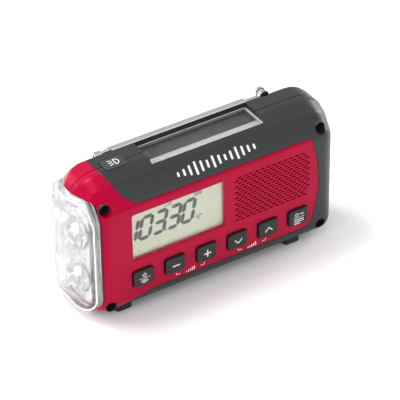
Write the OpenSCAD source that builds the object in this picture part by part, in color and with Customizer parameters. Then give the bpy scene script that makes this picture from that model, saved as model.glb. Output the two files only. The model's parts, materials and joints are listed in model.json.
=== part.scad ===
// Emergency radio with a hand crank, solar panel, torch and telescopic aerial.
// X runs along the length with the torch at -X, the front faces -Y and Z is up.
// The origin is the centre of the footprint, on the surface that the feet stand on.

/* [Housing] */
// Overall length, from the torch lens to the right-hand end
body_l = 167.2; // [166:0.2:170]
// Depth of the housing, front face to back face
body_d = 45.6; // [45.4:0.2:46.4]
// Height of the housing without its feet
body_h = 80.5; // [80:0.5:82]
// Height of the rubber feet
foot_h = 3; // [2:0.5:4]
// Wall thickness of the moulded covers
wall = 2.2; // [2:0.1:2.4]
// Plan radius of the torch end
torch_end_r = 28; // [27:0.5:29]
// Plan radius of the plain end
plain_end_r = 32; // [31:0.5:34]
// Blend between each end and the flat front and back
corner_r = 10; // [9:0.5:11]
// Radius of the two top shoulders
shoulder_r = 18; // [17:0.5:19]
// Radius of the two bottom ends
base_r = 12; // [11:0.5:13]
// Gap at the seams between the covers
seam_gap = 0.3; // [0.2:0.1:0.4]

/* [Torch] */
// How far the lens stands proud of the covers
lens_proud = 0.6; // [0.6:0.1:0.8]
// Thickness of the lens
lens_t = 1.8; // [1.5:0.1:2]
// Radius of each reflector bowl at its rim
bowl_r = 13.5; // [12:0.5:14]

/* [Front panel] */
// Width of the display opening
display_w = 58; // [56:0.5:59]
// Height of the display opening
display_h = 29.7; // [28:0.1:30]
// Distance between the front buttons
button_pitch = 20; // [19.5:0.1:20]
// Width of a front button
button_w = 12.4; // [11:0.1:13]
// Height of a front button
button_h = 10.2; // [9:0.1:10.5]
// How far the buttons stand proud of the front
button_proud = 2; // [2:0.1:2.2]
// Columns of slots in the speaker grille
grille_cols = 13; // [8:1:13]
// Rows of slots in the speaker grille
grille_rows = 16; // [8:1:16]

/* [Aerial] */
// Length of the outer aerial tube
aerial_tube_l = 87; // [80:1:87]
// Outer radius of the outer aerial tube
aerial_r = 2.25; // [2.2:0.05:2.3]

/* [Crank] */
// Radius of the crank's turning disc
disc_r = 26.5; // [26:0.1:26.5]
// Distance from the hinge to the knob on the crank arm
arm_l = 38; // [37:0.5:38]
// Radius of the crank's knob
knob_r = 6.5; // [6:0.1:6.5]
// Teeth on the crank's drive gear, a multiple of four
drive_teeth = 60; // [60:4:60]
// Teeth on the generator's pinion
generator_teeth = 10; // [10:1:10]

/* [Battery] */
// Diameter of the battery cell
cell_d = 18.3; // [18:0.1:18.4]
// Length of the battery cell
cell_l = 65; // [64:0.5:65]

/* [Hidden] */

$fn = 48;
eps = 0.01;
far = 200;
red = "#d0143c";
charcoal = "#46484a";
black = "#1d1f21";

// Outer limits of the housing
half_d = body_d / 2;
floor_z = foot_h;
top_z = foot_h + body_h;
torch_end_x = -body_l / 2 + lens_proud;
plain_end_x = body_l / 2;

// Corners of the cross-section, from the front face up over the top to the back face
front_top_z = top_z - 13.8;
ridge_y = -13.8;
ridge_z = top_z - 3.7;
section_corners = [
    [-half_d, floor_z, 7], [-half_d, front_top_z, 7], [ridge_y, ridge_z, 6], [-4.7, top_z, 8],
    [10.2, top_z, 2.5], [14.2, top_z - 4.1, 8], [half_d, front_top_z, 6], [half_d, floor_z, 7]];

function unit(v) = v / norm(v);
function xz(p) = [p[0], p[1]];
// Points of an arc of radius r that rounds the corner q between p and s
function corner(p, q, s, r, n) =
    let (u = unit(p - q), v = unit(s - q), half = acos(u * v) / 2,
        c = q + unit(u + v) * r / sin(half),
        from = q + u * r / tan(half) - c, to = q + v * r / tan(half) - c,
        a0 = atan2(from[1], from[0]), turn = atan2(to[1], to[0]) - a0,
        sweep = turn > 180 ? turn - 360 : turn < -180 ? turn + 360 : turn)
    [for (i = [0 : n]) c + r * [cos(a0 + sweep * i / n), sin(a0 + sweep * i / n)]];
// A closed outline whose corners are [x, y, radius], each rounded in n steps
function rounded(corners, n) =
    let (m = len(corners))
    [for (i = [0 : m - 1])
        let (p = xz(corners[(i + m - 1) % m]), q = corners[i], s = xz(corners[(i + 1) % m]))
        each (q[2] > 0 ? corner(p, xz(q), s, q[2], n) : [xz(q)])];

// Where the end's round nose meets its corner blend, as [blend centre x from the nose centre, blend centre y]
function blend_centre(r, f, d) = [sqrt(pow(r - f, 2) - pow(d - f, 2)), d - f];
// Rings of one end as [distance inboard from the end, half depth], for an inset e
function end_rings(end_r, e, n) =
    let (r = end_r - e, f = corner_r - e, d = half_d - e, b = blend_centre(r, f, d), meet = atan2(b[1],
        b[0]))
    concat([for (i = [1 : n]) let (a = meet * i / n) [r - r * cos(a), r * sin(a)]],
        [for (i = [1 : n / 2]) let (a = meet + (90 - meet) * i / (n / 2))
            [r - b[0] - f * cos(a), b[1] + f * sin(a)]],
        [[shoulder_r + 0.5, d]]);
function drop(t, r) = t < r ? r - sqrt(r * r - (r - t) * (r - t)) : 0;
// One ring as [x, half depth, lowest z, highest z]
function ring(x, t, d, e) = [x, d, floor_z + e + drop(t, base_r - e), top_z - e - drop(t, shoulder_r - e)];
function rings(e, n) =
    let (a = end_rings(torch_end_r, e, n), b = end_rings(plain_end_r, e, n), m = len(b) - 1)
    concat([for (p = a) ring(torch_end_x + e + p[0], p[0], p[1], e)],
        [for (i = [m : -1 : 0]) ring(plain_end_x - e - b[i][0], b[i][0], b[i][1], e)]);

// The housing's outer form, inset by e, with n rings round each nose and k steps round each edge
module form(e = 0, n = 10, k = 4) {
    edge = rounded(section_corners, k);
    m = len(edge);
    all = rings(e, n);
    points = [for (r = all) for (p = edge)
        [r[0], p[0] * r[1] / half_d, r[2] + (p[1] - floor_z) * (r[3] - r[2]) / body_h]];
    sides = [for (i = [0 : len(all) - 2]) for (j = [0 : m - 1])
        let (a = i * m + j, b = i * m + (j + 1) % m) each [[a, b, b + m], [a, b + m, a + m]]];
    polyhedron(points, concat([[for (j = [m - 1 : -1 : 0]) j]], sides,
        [[for (j = [0 : m - 1]) (len(all) - 1) * m + j]]));
}

// Extrudes an outline drawn as [x, z] along Y from y0 to y1
module along_y(y0, y1) translate([0, y1, 0]) rotate([90, 0, 0]) linear_extrude(y1 - y0) children();
// Extrudes an outline drawn as [y, z] along X from x0 to x1
module along_x(x0, x1) translate([x0, 0, 0]) rotate([90, 0, 90]) linear_extrude(x1 - x0) children();
module rod_x(x0, x1, y, z, r) translate([x0, y, z]) rotate([0, 90, 0]) cylinder(x1 - x0, r, r);
module rod_y(x, y0, y1, z, r) translate([x, y0, z]) rotate([-90, 0, 0]) cylinder(y1 - y0, r, r);
module block(x0, x1, y0, y1, z0, z1) translate([x0, y0, z0]) cube([x1 - x0, y1 - y0, z1 - z0]);
module round_rect(w, h, r) {
    square([w - 2 * r, h], center = true);
    square([w, h - 2 * r], center = true);
    for (x = [-1, 1], y = [-1, 1]) translate([x * (w / 2 - r), y * (h / 2 - r)]) circle(r);
}
// A rounded slab on the front or back: centred at [x, z] and running from y0 to y1
module slab(x, z, w, h, r, y0, y1) translate([x, 0, z]) along_y(y0, y1) round_rect(w, h, r);

// ---- Seams between the red and the charcoal covers ----
panel_top = front_top_z;
panel_bottom = floor_z + 8;
seam_x = torch_end_x + 19.4;
panel_bulge_r = 79.2;
panel_right = 67;
function bulge(a) = [panel_right - panel_bulge_r + panel_bulge_r * cos(a), 40.9 + panel_bulge_r * sin(a)];
function red_outline() = concat(
    [[-far, far], [seam_x - far * 0.54, top_z + far]],
    corner([seam_x, top_z], [seam_x + 7.6, panel_top], [0, panel_top], 14, 8),
    corner([0, panel_top], [61.8, panel_top], bulge(16), 3, 4),
    [for (a = [15 : -5 : -15]) bulge(a)],
    corner(bulge(-15), [62, panel_bottom], [0, panel_bottom], 8, 6),
    corner([0, panel_bottom], [-38, panel_bottom], [-72, floor_z + 0.2], 40, 6),
    [[-72, floor_z + 0.2], [-72, -far], [-far, -far]]);
module red_front(gap) offset(delta = gap) polygon(red_outline());
module front_half() block(-far, far, -far, -seam_gap / 2, -far, far);
module rear_half() block(-far, far, seam_gap / 2, far, -far, far);

// ---- Torch opening: outline in [y, z], grown by g ----
lens_half = 21.9;
lens_low = floor_z + 3;
lens_high = floor_z + 72.3;
lens_back = torch_end_x + 11.4;
lens_seat = lens_back + 0.9;
function lens_outline(g) = rounded([[-lens_half - g, lens_low - g, 9 + g], [-lens_half - g,
    lens_high + g, 13 + g],
    [lens_half + g, lens_high + g, 13 + g], [lens_half + g, lens_low - g, 9 + g]], 6);
module lens_prism(g, x0, x1) along_x(x0, x1) polygon(lens_outline(g));

// ---- Corner screws: [x, z] and where each counterbore's floor is ----
screw_spots = [[-67, 71], [69.5, 72.5], [-66.5, 7.8], [69, 9]];
screw_floor_y = -13;
screw_head_r = 2.9;
counterbore_r = 3.3;
// Bosses for the screws numbered in the list, ending inside the covers' walls
boss_inset = 0.9;
module front_bosses(list) intersection() {
    for (i = list) rod_y(screw_spots[i][0], -half_d, screw_floor_y + 2, screw_spots[i][1],
        counterbore_r + 1.6);
    form(boss_inset, 6, 2);
}
module front_bore(p) {
    rod_y(p[0], -half_d - 5, screw_floor_y, p[1], counterbore_r);
    rod_y(p[0], -half_d, 0, p[1], 1.7);
}
rear_boss_r = 2.7;
module rear_bosses(list) difference() {
    intersection() {
        union() {
            for (i = list) rod_y(screw_spots[i][0], seam_gap / 2, half_d, screw_spots[i][1], rear_boss_r);
            children();
        }
        form(boss_inset, 6, 2);
    }
    for (i = list) rod_y(screw_spots[i][0], -1, 10, screw_spots[i][1], 1.5);
}

// ---- Display, buttons and speaker on the front panel ----
display_x = -23.4;
display_z = 48.5;
button_z = floor_z + 18.2;
button_row_x = 3;
function button_x(i) = button_row_x + (i - 2.5) * button_pitch;
button_gap = 0.3;
button_flange = 1.1;
speaker_x = 36.6;
speaker_z = 48;
slot_w = 2.7;
slot_h = 1;
slot_pitch_x = 3.72;
slot_pitch_z = 1.87;
// Slots kept clear of the grille's cut corners on its right-hand side
function in_grille(x, z) = abs(x) + 0.55 * abs(z) < 29.5;
module grille_slots() for (row = [0 : grille_rows - 1], col = [0 : grille_cols - 1])
    let (z = (row - (grille_rows - 1) / 2) * slot_pitch_z,
        x = (col - (grille_cols - 1) / 2 + (row % 2) / 2 - 0.25) * slot_pitch_x)
    if (x < 0 || in_grille(x, z))
        block(speaker_x + x - slot_w / 2, speaker_x + x + slot_w / 2, -half_d - 1, -half_d + wall + 1,
            speaker_z + z - slot_h / 2, speaker_z + z + slot_h / 2);

// ---- Solar panel and torch button on the top ----
solar_x0 = -31.5;
solar_x1 = 39.7;
solar_half = 9.6;
solar_top = top_z - 2.7;
solar_floor = solar_top - 2.2;
torch_button_x = -49.6;
torch_button_w = 13.4;
torch_button_d = 9.6;
module solar_tray() block(solar_x0 - wall, solar_x1 + wall, -solar_half - wall, solar_half + 1.2,
    solar_floor - 1.6, solar_floor + 1);
module solar_recess() block(solar_x0, solar_x1, -solar_half, solar_half, solar_floor, top_z + 5);
module torch_button_hole(g) translate([torch_button_x, 0, top_z - 6])
    linear_extrude(12) round_rect(torch_button_w + 2 * g, torch_button_d + 2 * g, 2 + g);

// ---- Aerial: lies along a ledge cut in the rear top edge ----
aerial_y = 13.6;
aerial_z = top_z - 2.4;
aerial_pivot_x = 53;
aerial_pivot_z = top_z - 0.9;
aerial_tube_x1 = 41;
aerial_tube_x0 = aerial_tube_x1 - aerial_tube_l;
ledge_y = 10.7;
ledge_z = aerial_z - aerial_r - 0.25;
ledge_x1 = aerial_pivot_x + 5;
knuckle_r = 4.2;
knuckle_floor = ledge_z - 5;
module aerial_ledge() {
    block(-far, ledge_x1, ledge_y, far, ledge_z, far);
    translate([aerial_pivot_x, aerial_y, knuckle_floor]) cylinder(20, knuckle_r + 0.5, knuckle_r + 0.5);
}
// The material under the ledge and round the knuckle's pocket
module aerial_seat(x0, x1) {
    block(x0, x1, ledge_y - 1.6, half_d, ledge_z - 1.8, top_z);
    if (x1 > aerial_pivot_x) translate([aerial_pivot_x, aerial_y, knuckle_floor - 2.5]) cylinder(10,
        6.6, 6.6);
}

// ---- Crank well, gears and generator inside the rear cover ----
crank_x = 36;
crank_z = floor_z + 37;
well_r = disc_r + 0.5;
well_floor_y = 7.1;
well_wall = 1.6;
disc_y0 = 15.2;
disc_y1 = half_d - 0.4;
shaft_r = 3;
running = 0.06;
hinge_z = crank_z + 22;
knob_z = hinge_z - arm_l;
// Room below the knob for its arc as the arm lifts
knob_swing = 1.6;
gear_y0 = 1.9;
gear_y1 = 5.1;
wheel_y0 = -0.9;
wheel_y1 = 1.3;
drive_module = 0.7;
wheel_module = 0.6;
compound_small = 12;
compound_large = 40;
drive_angle = 145;
compound_x = crank_x + cos(drive_angle) * (drive_teeth + compound_small) * drive_module / 2;
compound_z = crank_z + sin(drive_angle) * (drive_teeth + compound_small) * drive_module / 2;
generator_x = compound_x - (compound_large + generator_teeth) * wheel_module / 2;
generator_z = compound_z;
plate_y0 = -2.2;
plate_y1 = -1.2;

// ---- Battery bay and port cover in the back ----
cell_x0 = -57.5;
cell_y = 11.2;
cell_z = floor_z + 15.6;
door_x0 = cell_x0 - 2.9;
door_x1 = cell_x0 + cell_l + 0.9;
door_z0 = floor_z + 7;
door_z1 = door_z0 + 18.6;
door_hinge_y = half_d - 1.1;
door_hinge_z = door_z0 + 1.1;
port_x = -34;
port_z = floor_z + 48;
port_w = 34;
port_h = 14;
port_y0 = half_d - 1.2;

// ---- Covers ----
module shell() difference() {
    form(0);
    form(wall, 6, 2);
}
module front_cover() color(red) difference() {
    union() {
        intersection() {
            shell();
            along_y(-far, -seam_gap / 2) red_front(-seam_gap / 2);
        }
        intersection() {
            front_bosses([0, 2]);
            along_y(-far, far) red_front(-seam_gap / 2);
        }
    }
    for (i = [0, 2]) front_bore(screw_spots[i]);
    lens_prism(0.15, -far, lens_seat);
    slab(display_x, display_z, display_w, display_h, 1.2, -far, 0);
    for (i = [0 : 5]) slab(button_x(i), button_z, button_w + 2 * button_gap, button_h + 2 * button_gap,
        2.3, -far, 0);
    grille_slots();
}
module front_frame() color(charcoal) difference() {
    union() {
        difference() {
            intersection() {
                shell();
                front_half();
            }
            along_y(-far, 1) red_front(seam_gap / 2);
        }
        front_bosses([1, 3]);
        intersection() {
            solar_tray();
            front_half();
        }
    }
    for (i = [1, 3]) front_bore(screw_spots[i]);
    solar_recess();
    torch_button_hole(0.3);
    foot_pockets();
}
module rear_red(gap) offset(delta = gap) polygon([[-far, far], [seam_x, far], [seam_x, -far], [-far,
    -far]]);
module rear_end_cover() color(red) difference() {
    union() {
        intersection() {
            shell();
            along_y(seam_gap / 2, far) rear_red(-seam_gap / 2);
        }
        rear_bosses([0, 2]) aerial_seat(lens_seat + 1, seam_x - seam_gap / 2);
    }
    lens_prism(0.15, -far, lens_seat);
    aerial_ledge();
}
module rear_cover() color(charcoal) difference() {
    union() {
        difference() {
            intersection() {
                shell();
                rear_half();
            }
            along_y(-1, far) rear_red(seam_gap / 2);
        }
        rear_bosses([1, 3]) aerial_seat(seam_x + seam_gap / 2, ledge_x1 + 1.6);
        intersection() {
            solar_tray();
            rear_half();
        }
        rod_y(crank_x, well_floor_y - well_wall, half_d - 0.5, crank_z, well_r + well_wall);
    }
    aerial_ledge();
    translate([aerial_pivot_x, aerial_y, knuckle_floor - 5]) cylinder(10, 2.5, 2.5);
    solar_recess();
    torch_button_hole(0.3);
    foot_pockets();
    rod_y(crank_x, well_floor_y, far, crank_z, well_r);
    rod_y(crank_x, 0, far, crank_z, shaft_r + running);
    block(door_x0 - 0.2, door_x1 + 0.2, half_d - 5, half_d + 5, door_z0 - 0.3, door_z1 + 0.2);
    rod_x(door_x0 - 1, door_x1 + 1, door_hinge_y, door_hinge_z, 0.82);
    slab(port_x, port_z, port_w + 0.6, port_h + 0.6, 2.3, port_y0, far);
    slab(port_x - 7, port_z, 13.6, 6, 0.6, 0, far);
    slab(port_x + 10, port_z, 9.8, 4, 1.9, 0, far);
}
module foot_spot() for (x = [-57, 52.5], y = [-15.4, 15.4]) translate([x, y, 0]) children();
foot_sink = 1.6;
module foot_pockets() foot_spot() translate([0, 0,
    foot_h - 2]) linear_extrude(foot_sink + 2.1) round_rect(10.4, 8.8, 2.2);
module rubber_feet() color(black) foot_spot() linear_extrude(foot_h + foot_sink) round_rect(10, 8.4, 2);
module housing_screws() color("#2a2a2c") for (p = screw_spots) difference() {
    union() {
        rod_y(p[0], screw_floor_y - 2.2, screw_floor_y - 0.05, p[1], screw_head_r);
        rod_y(p[0], screw_floor_y - 0.1, 9, p[1], 1.45);
    }
    for (a = [0, 90]) translate([p[0], screw_floor_y - 2.2, p[1]]) rotate([0, a, 0])
        cube([3.2, 2.4, 0.7], center = true);
}

// ---- Torch ----
bowl_spots = [floor_z + 51, floor_z + 22];
bowl_x0 = torch_end_x + 7.4;
bowl_x1 = torch_end_x + 17;
module torch_lens() color("#eef4f6", 0.4) union() {
    intersection() {
        difference() {
            form(-lens_proud, 8, 3);
            form(lens_t - lens_proud, 6, 2);
        }
        lens_prism(0, -far, lens_back);
    }
    intersection() {
        difference() {
            lens_prism(0, -far, lens_back);
            lens_prism(-1.6, -far - 1, lens_back + 1);
        }
        form(0, 6, 2);
    }
}
module lens_gasket() color(black) difference() {
    lens_prism(-0.2, lens_back + 0.05, lens_seat - 0.05);
    lens_prism(-2.6, lens_back - 1, lens_back + 2);
}
module bowl(z, grow, x0, x1) translate([x0, 0, z]) rotate([0, 90, 0])
    cylinder(x1 - x0, bowl_r + grow, 4 + grow);
module torch_reflector() color("#d8dadc") difference() {
    union() {
        intersection() {
            lens_prism(-1.9, lens_back - 3.4, lens_back - 2);
            form(lens_t + 0.3, 6, 2);
        }
        for (z = bowl_spots) bowl(z, 1, bowl_x0, bowl_x1);
    }
    for (z = bowl_spots) {
        bowl(z, 0, bowl_x0 - eps, bowl_x1 + eps);
    }
}
module torch_leds() color("#f4f0c8") for (z = bowl_spots) {
    rod_x(bowl_x1 - 3.4, bowl_x1 + 0.4, 0, z, 2.4);
    translate([bowl_x1 - 3.4, 0, z]) sphere(2.4);
}
module torch_led_board() color("#e6e6e0") {
    along_x(bowl_x1 + 0.5, bowl_x1 + 2.1) translate([0, (bowl_spots[0] + bowl_spots[1]) / 2])
        round_rect(22, 50, 2);
}

// ---- Display and front electronics ----
module display_window() color("#dfe6d0", 0.4)
    slab(display_x, display_z, display_w - 0.2, display_h - 0.2, 1.1, -half_d + 0.8, -half_d + 2);
module display_module() color("#c9d0b8") slab(display_x, display_z, 64, 36, 1, -half_d + wall + 0.2,
    -half_d + 4.4);
module display_backlight() color("white") slab(display_x, display_z, 62, 34, 1, -half_d + 4.5, -half_d + 7);
board_y0 = -15;
module main_board() color("#1f6b3a") along_y(board_y0, board_y0 + 1.6)
    polygon([[-60, 12], [64, 12], [64, 28.5], [12.5, 28.5], [12.5, 70], [-60, 70]]);
module keypad_mat() color("#8a8d90") {
    along_y(-17.2, -16) translate([button_row_x, button_z]) round_rect(118, 13.6, 2);
    for (i = [0 : 5]) rod_y(button_x(i), -18.1, -17.1, button_z, 3);
}
module front_button(i) color(black) {
    slab(button_x(i), button_z, button_w, button_h, 2, -half_d - button_proud, -half_d + wall + 0.6);
    slab(button_x(i), button_z, button_w + 2 * button_flange, button_h + 2 * button_flange, 2.4,
        -half_d + wall + 0.4, -half_d + wall + 1.4);
}
// Underside of the torch button's flange, clear of the switch below it
torch_flange_z = top_z - wall - 1.9;
module torch_button() color("#3a3c3e") {
    translate([torch_button_x, 0, top_z - wall - 1]) linear_extrude(wall + 1 + 0.5)
        round_rect(torch_button_w, torch_button_d, 2);
    translate([torch_button_x, 0, torch_flange_z]) linear_extrude(1)
        round_rect(torch_button_w + 2, torch_button_d + 1.2, 2.4);
}
module torch_switch() color("#2f5f45") translate([torch_button_x, 0, torch_flange_z]) {
    translate([0, 0, -4.1]) cylinder(3.2, 1.7, 1.7);
    translate([-3, -3, -7.5]) cube([6, 6, 3.5]);
    translate([-8, -7, -9]) cube([16, 14, 1.6]);
}
module speaker_cloth() color("#2a0a10")
    slab(speaker_x, speaker_z, 51, 33, 2, -half_d + wall + 0.05, -half_d + wall + 0.4);
module speaker_basket() color("#55585a") translate([speaker_x, -half_d + wall + 0.5, speaker_z])
    rotate([-90, 0, 0]) difference() {
        union() {
            cylinder(2, 18.4, 18.4);
            translate([0, 0, 2]) cylinder(6, 16.5, 10);
        }
        translate([0, 0, -eps]) cylinder(2 + 2 * eps, 16.4, 15.2);
        translate([0, 0, 2]) cylinder(6 + eps, 15.2, 8.6);
    }
module speaker_cone() color("#202224") translate([speaker_x, -half_d + wall + 0.7, speaker_z])
    rotate([-90, 0, 0]) difference() {
        union() {
            cylinder(0.8, 16, 15.6);
            translate([0, 0, 0.8]) cylinder(5, 14, 6);
        }
        translate([0, 0, -eps]) cylinder(0.8 + 2 * eps, 13.4, 13.2);
        translate([0, 0, 0.8]) cylinder(4.4, 13.2, 5.4);
    }
module speaker_magnet() color("#9a9da0") rod_y(speaker_x, -half_d + wall + 8.6, -half_d + wall + 15,
    speaker_z, 10);

// ---- Solar panel ----
module solar_cell() color("#26262c") block(solar_x0 + 0.3, solar_x1 - 0.3, -solar_half + 0.3,
    solar_half - 0.3,
    solar_floor + 0.05, solar_floor + 0.85);
module solar_border() color("#c4c8ca") difference() {
    block(solar_x0 + 0.3, solar_x1 - 0.3, -solar_half + 0.3, solar_half - 0.3, solar_floor + 0.9,
        solar_floor + 1.15);
    block(solar_x0 + 1.1, solar_x1 - 1.1, -solar_half + 4.6, solar_half - 1.1, solar_floor, solar_top);
}
module solar_window() color("#dfe6ea", 0.3) block(solar_x0 + 0.15, solar_x1 - 0.15, -solar_half + 0.15,
    solar_half - 0.15, solar_floor + 1.2, solar_top);

// ---- Aerial ----
// The bush and the spindle end just above the crank well's wall
spindle_l = 7.4;
module antenna_base() color("#8c8f92") translate([aerial_pivot_x, aerial_y,
    knuckle_floor - spindle_l]) difference() {
    cylinder(spindle_l - 2.6, 4, 4);
    translate([0, 0, -1]) cylinder(20, 2 + running, 2 + running);
}
module antenna_swivel() color("#d4d6d8") difference() {
    union() {
        translate([aerial_pivot_x, aerial_y, knuckle_floor - spindle_l + 0.2]) cylinder(spindle_l + 0.4,
            2, 2);
        translate([aerial_pivot_x, aerial_y, ledge_z - 4.7]) cylinder(4.7, knuckle_r, knuckle_r);
        for (s = [-1, 1]) translate([0, aerial_y + s * 2.1, 0]) along_y(-0.8, 0.8) {
            translate([aerial_pivot_x, aerial_pivot_z]) circle(2.9);
            translate([aerial_pivot_x - 2.9, ledge_z - 0.5]) square([5.8, aerial_pivot_z - ledge_z + 0.5]);
        }
    }
    rod_y(aerial_pivot_x, aerial_y - 5, aerial_y + 5, aerial_pivot_z, 1.02);
}
module antenna_hinge_pin() color("#9a9da0") {
    rod_y(aerial_pivot_x, aerial_y - 3.1, aerial_y + 3.1, aerial_pivot_z, 1);
}
module tube_x(x0, x1, ro, ri) difference() {
    rod_x(x0, x1, aerial_y, aerial_z, ro);
    rod_x(x0 - 1, x1 - 1.5, aerial_y, aerial_z, ri);
}
module antenna_tube_1() color("#e2e4e6") difference() {
    union() {
        tube_x(aerial_tube_x0, aerial_tube_x1, aerial_r, aerial_r - 0.3);
        rod_x(aerial_tube_x1 - 0.5, aerial_pivot_x - 1.6, aerial_y, aerial_z, 1.15);
        rod_y(aerial_pivot_x, aerial_y - 1.1, aerial_y + 1.1, aerial_pivot_z, 2.3);
    }
    rod_y(aerial_pivot_x, aerial_y - 5, aerial_y + 5, aerial_pivot_z, 1 + running);
}
module antenna_tube_2() color("#dcdee0") tube_x(aerial_tube_x0 - 1.5, aerial_tube_x1 - 2,
    aerial_r - 0.35, aerial_r - 0.65);
module antenna_tube_3() color("#e2e4e6") tube_x(aerial_tube_x0 - 3, aerial_tube_x1 - 4, aerial_r - 0.7,
    aerial_r - 1);
module antenna_rod() color("#dcdee0") {
    rod_x(aerial_tube_x0 - 4.5, aerial_tube_x1 - 6, aerial_y, aerial_z, aerial_r - 1.05);
    rod_x(aerial_tube_x0 - 8, aerial_tube_x0 - 4, aerial_y, aerial_z, aerial_r - 0.05);
}
module antenna_clip() color(black) difference() {
    block(aerial_tube_x0 - 3, aerial_tube_x0 + 1.6, ledge_y + 0.05, aerial_y + 1.6, ledge_z, top_z - 0.2);
    rod_x(-far, far, aerial_y, aerial_z, aerial_r + 0.2);
    block(-far, far, aerial_y, far, aerial_z - 1.4, far);
    block(-far, far, aerial_y - aerial_r - 0.2, far, aerial_z, far);
}

// ---- Crank ----
module crank_disc() color("#3c3e40") difference() {
    union() {
        rod_y(crank_x, disc_y0, disc_y1, crank_z, disc_r);
        rod_y(crank_x, well_floor_y + 0.4, disc_y0 + 1, crank_z, 6);
        for (z = [0, knob_swing]) rod_y(crank_x, well_floor_y + 0.6, disc_y0 + 1, knob_z - z, knob_r + 2.1);
        for (s = [-1, 1]) translate([s * 4.7, 0, 0]) along_x(crank_x - 1, crank_x + 1) {
            translate([half_d, hinge_z]) circle(2);
            translate([half_d - 3, hinge_z - 2]) square([3, 4]);
        }
    }
    block(crank_x - 5.6, crank_x + 5.6, half_d - 5.6, half_d, knob_z, hinge_z - 2.6);
    block(crank_x - 3.6, crank_x + 3.6, half_d - 5.6, half_d + 5, hinge_z - 3, hinge_z + 2.6);
    for (z = [0, knob_swing]) rod_y(crank_x, half_d - 5.6, half_d + 5, knob_z - z, 6.8);
    block(crank_x - 6.8, crank_x + 6.8, half_d - 5.6, half_d + 5, knob_z - knob_swing, knob_z);
    for (z = [0, knob_swing]) rod_y(crank_x, well_floor_y + 1.8, disc_y1 - 5, knob_z - z, knob_r + 0.7);
    block(crank_x - knob_r - 0.7, crank_x + knob_r + 0.7, well_floor_y + 1.8, disc_y1 - 5,
        knob_z - knob_swing, knob_z);
    rod_y(crank_x, 0, disc_y0 - 3, crank_z, shaft_r + 0.02);
    rod_x(crank_x - 6, crank_x + 6, half_d, hinge_z, 1.02);
}
module crank_hinge_pin() color("#9a9da0") rod_x(crank_x - 5.6, crank_x + 5.6, half_d, hinge_z, 1);
module crank_arm() color(charcoal) difference() {
    union() {
        block(crank_x - 5.2, crank_x + 5.2, half_d - 5.2, disc_y1, knob_z, hinge_z - 3);
        rod_y(crank_x, half_d - 5.2, disc_y1, knob_z, 6.2);
        block(crank_x - 3.2, crank_x + 3.2, half_d - 3.4, disc_y1, hinge_z - 3.2, hinge_z - 0.6);
        rod_x(crank_x - 3.2, crank_x + 3.2, half_d, hinge_z, 2);
    }
    rod_x(crank_x - 8, crank_x + 8, half_d, hinge_z, 1 + running);
    rod_y(crank_x, 0, half_d - 1.6, knob_z, 1.52);
}
knob_y0 = well_floor_y + 2.2;
knob_y1 = half_d - 5.5;
module crank_knob() color(black) difference() {
    union() {
        rod_y(crank_x, knob_y0, knob_y1, knob_z, knob_r - 1);
        for (i = [0 : 2]) rod_y(crank_x, knob_y0 + 2 + i * 2, knob_y0 + 3.2 + i * 2, knob_z,
            knob_r - 0.4 + i * 0.2);
    }
    rod_y(crank_x, 0, far, knob_z, 1.5 + running);
}
module crank_knob_pin() color("#b4b6b8") {
    rod_y(crank_x, knob_y0 + 0.4, half_d - 1.7, knob_z, 1.5);
}
module crank_shaft() color("#a8aaac") rod_y(crank_x, plate_y0, disc_y0 - 3.1, crank_z, shaft_r);

// A spur gear about Y with its first tooth at angle a; teeth are straight-flanked and slightly short
module gear(x, z, teeth, mod, a, y0, y1) {
    r = teeth * mod / 2;
    step = 360 / teeth;
    translate([x, 0, z]) rotate([0, -a, 0]) along_y(y0, y1) union() {
        circle(r - mod, $fn = teeth * 2);
        polygon([for (i = [0 : teeth - 1]) each [for (q = [[-1.15, -0.36], [0.72, -0.13], [0.72, 0.13],
            [-1.15, 0.36]])
            let (t = i * step + q[1] * step) (r + q[0] * mod) * [cos(t), sin(t)]]]);
    }
}
module drive_gear() color("#e8e4d8") difference() {
    gear(crank_x, crank_z, drive_teeth, drive_module, drive_angle, gear_y0, gear_y1);
    rod_y(crank_x, 0, 10, crank_z, shaft_r + 0.02);
    for (i = [0 : 4]) translate([crank_x, 0, crank_z]) rotate([0, i * 72, 0]) rod_y(12, 0, 10, 0, 4);
}
module compound_gear() color("#e8e4d8") difference() {
    union() {
        gear(compound_x, compound_z, compound_small, drive_module, drive_angle + 180 + 180 / compound_small,
            wheel_y1 - 0.1, gear_y1);
        gear(compound_x, compound_z, compound_large, wheel_module, 180, wheel_y0, wheel_y1);
    }
    rod_y(compound_x, -5, 10, compound_z, 1 + running);
}
module compound_axle() color("#a8aaac") rod_y(compound_x, plate_y0, gear_y1 + 0.3, compound_z, 1);
module generator() color("#b0b2b4") difference() {
    union() {
        rod_y(generator_x, -13, plate_y0 - 0.05, generator_z, 12);
        rod_y(generator_x, plate_y0 - 0.1, plate_y1, generator_z, 3.6);
    }
    rod_y(generator_x, -11, 5, generator_z, 1 + running);
}
module generator_pinion() color("#d6b45a") {
    gear(generator_x, generator_z, generator_teeth, wheel_module, 180 / generator_teeth, wheel_y0,
        wheel_y1);
    rod_y(generator_x, -10.8, wheel_y1, generator_z, 1);
}
module gearbox_plate() color("#8f9294") difference() {
    along_y(plate_y0, plate_y1) polygon([[generator_x - 13, generator_z - 8], [generator_x - 8,
        generator_z + 13],
        [compound_x + 6, compound_z + 13], [crank_x + 10, crank_z + 8], [crank_x + 8, crank_z - 9],
        [generator_x, generator_z - 13]]);
    rod_y(generator_x, -5, 5, generator_z, 3.7);
    rod_y(compound_x, -5, 5, compound_z, 1);
    rod_y(crank_x, -5, 5, crank_z, shaft_r + running);
}

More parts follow.
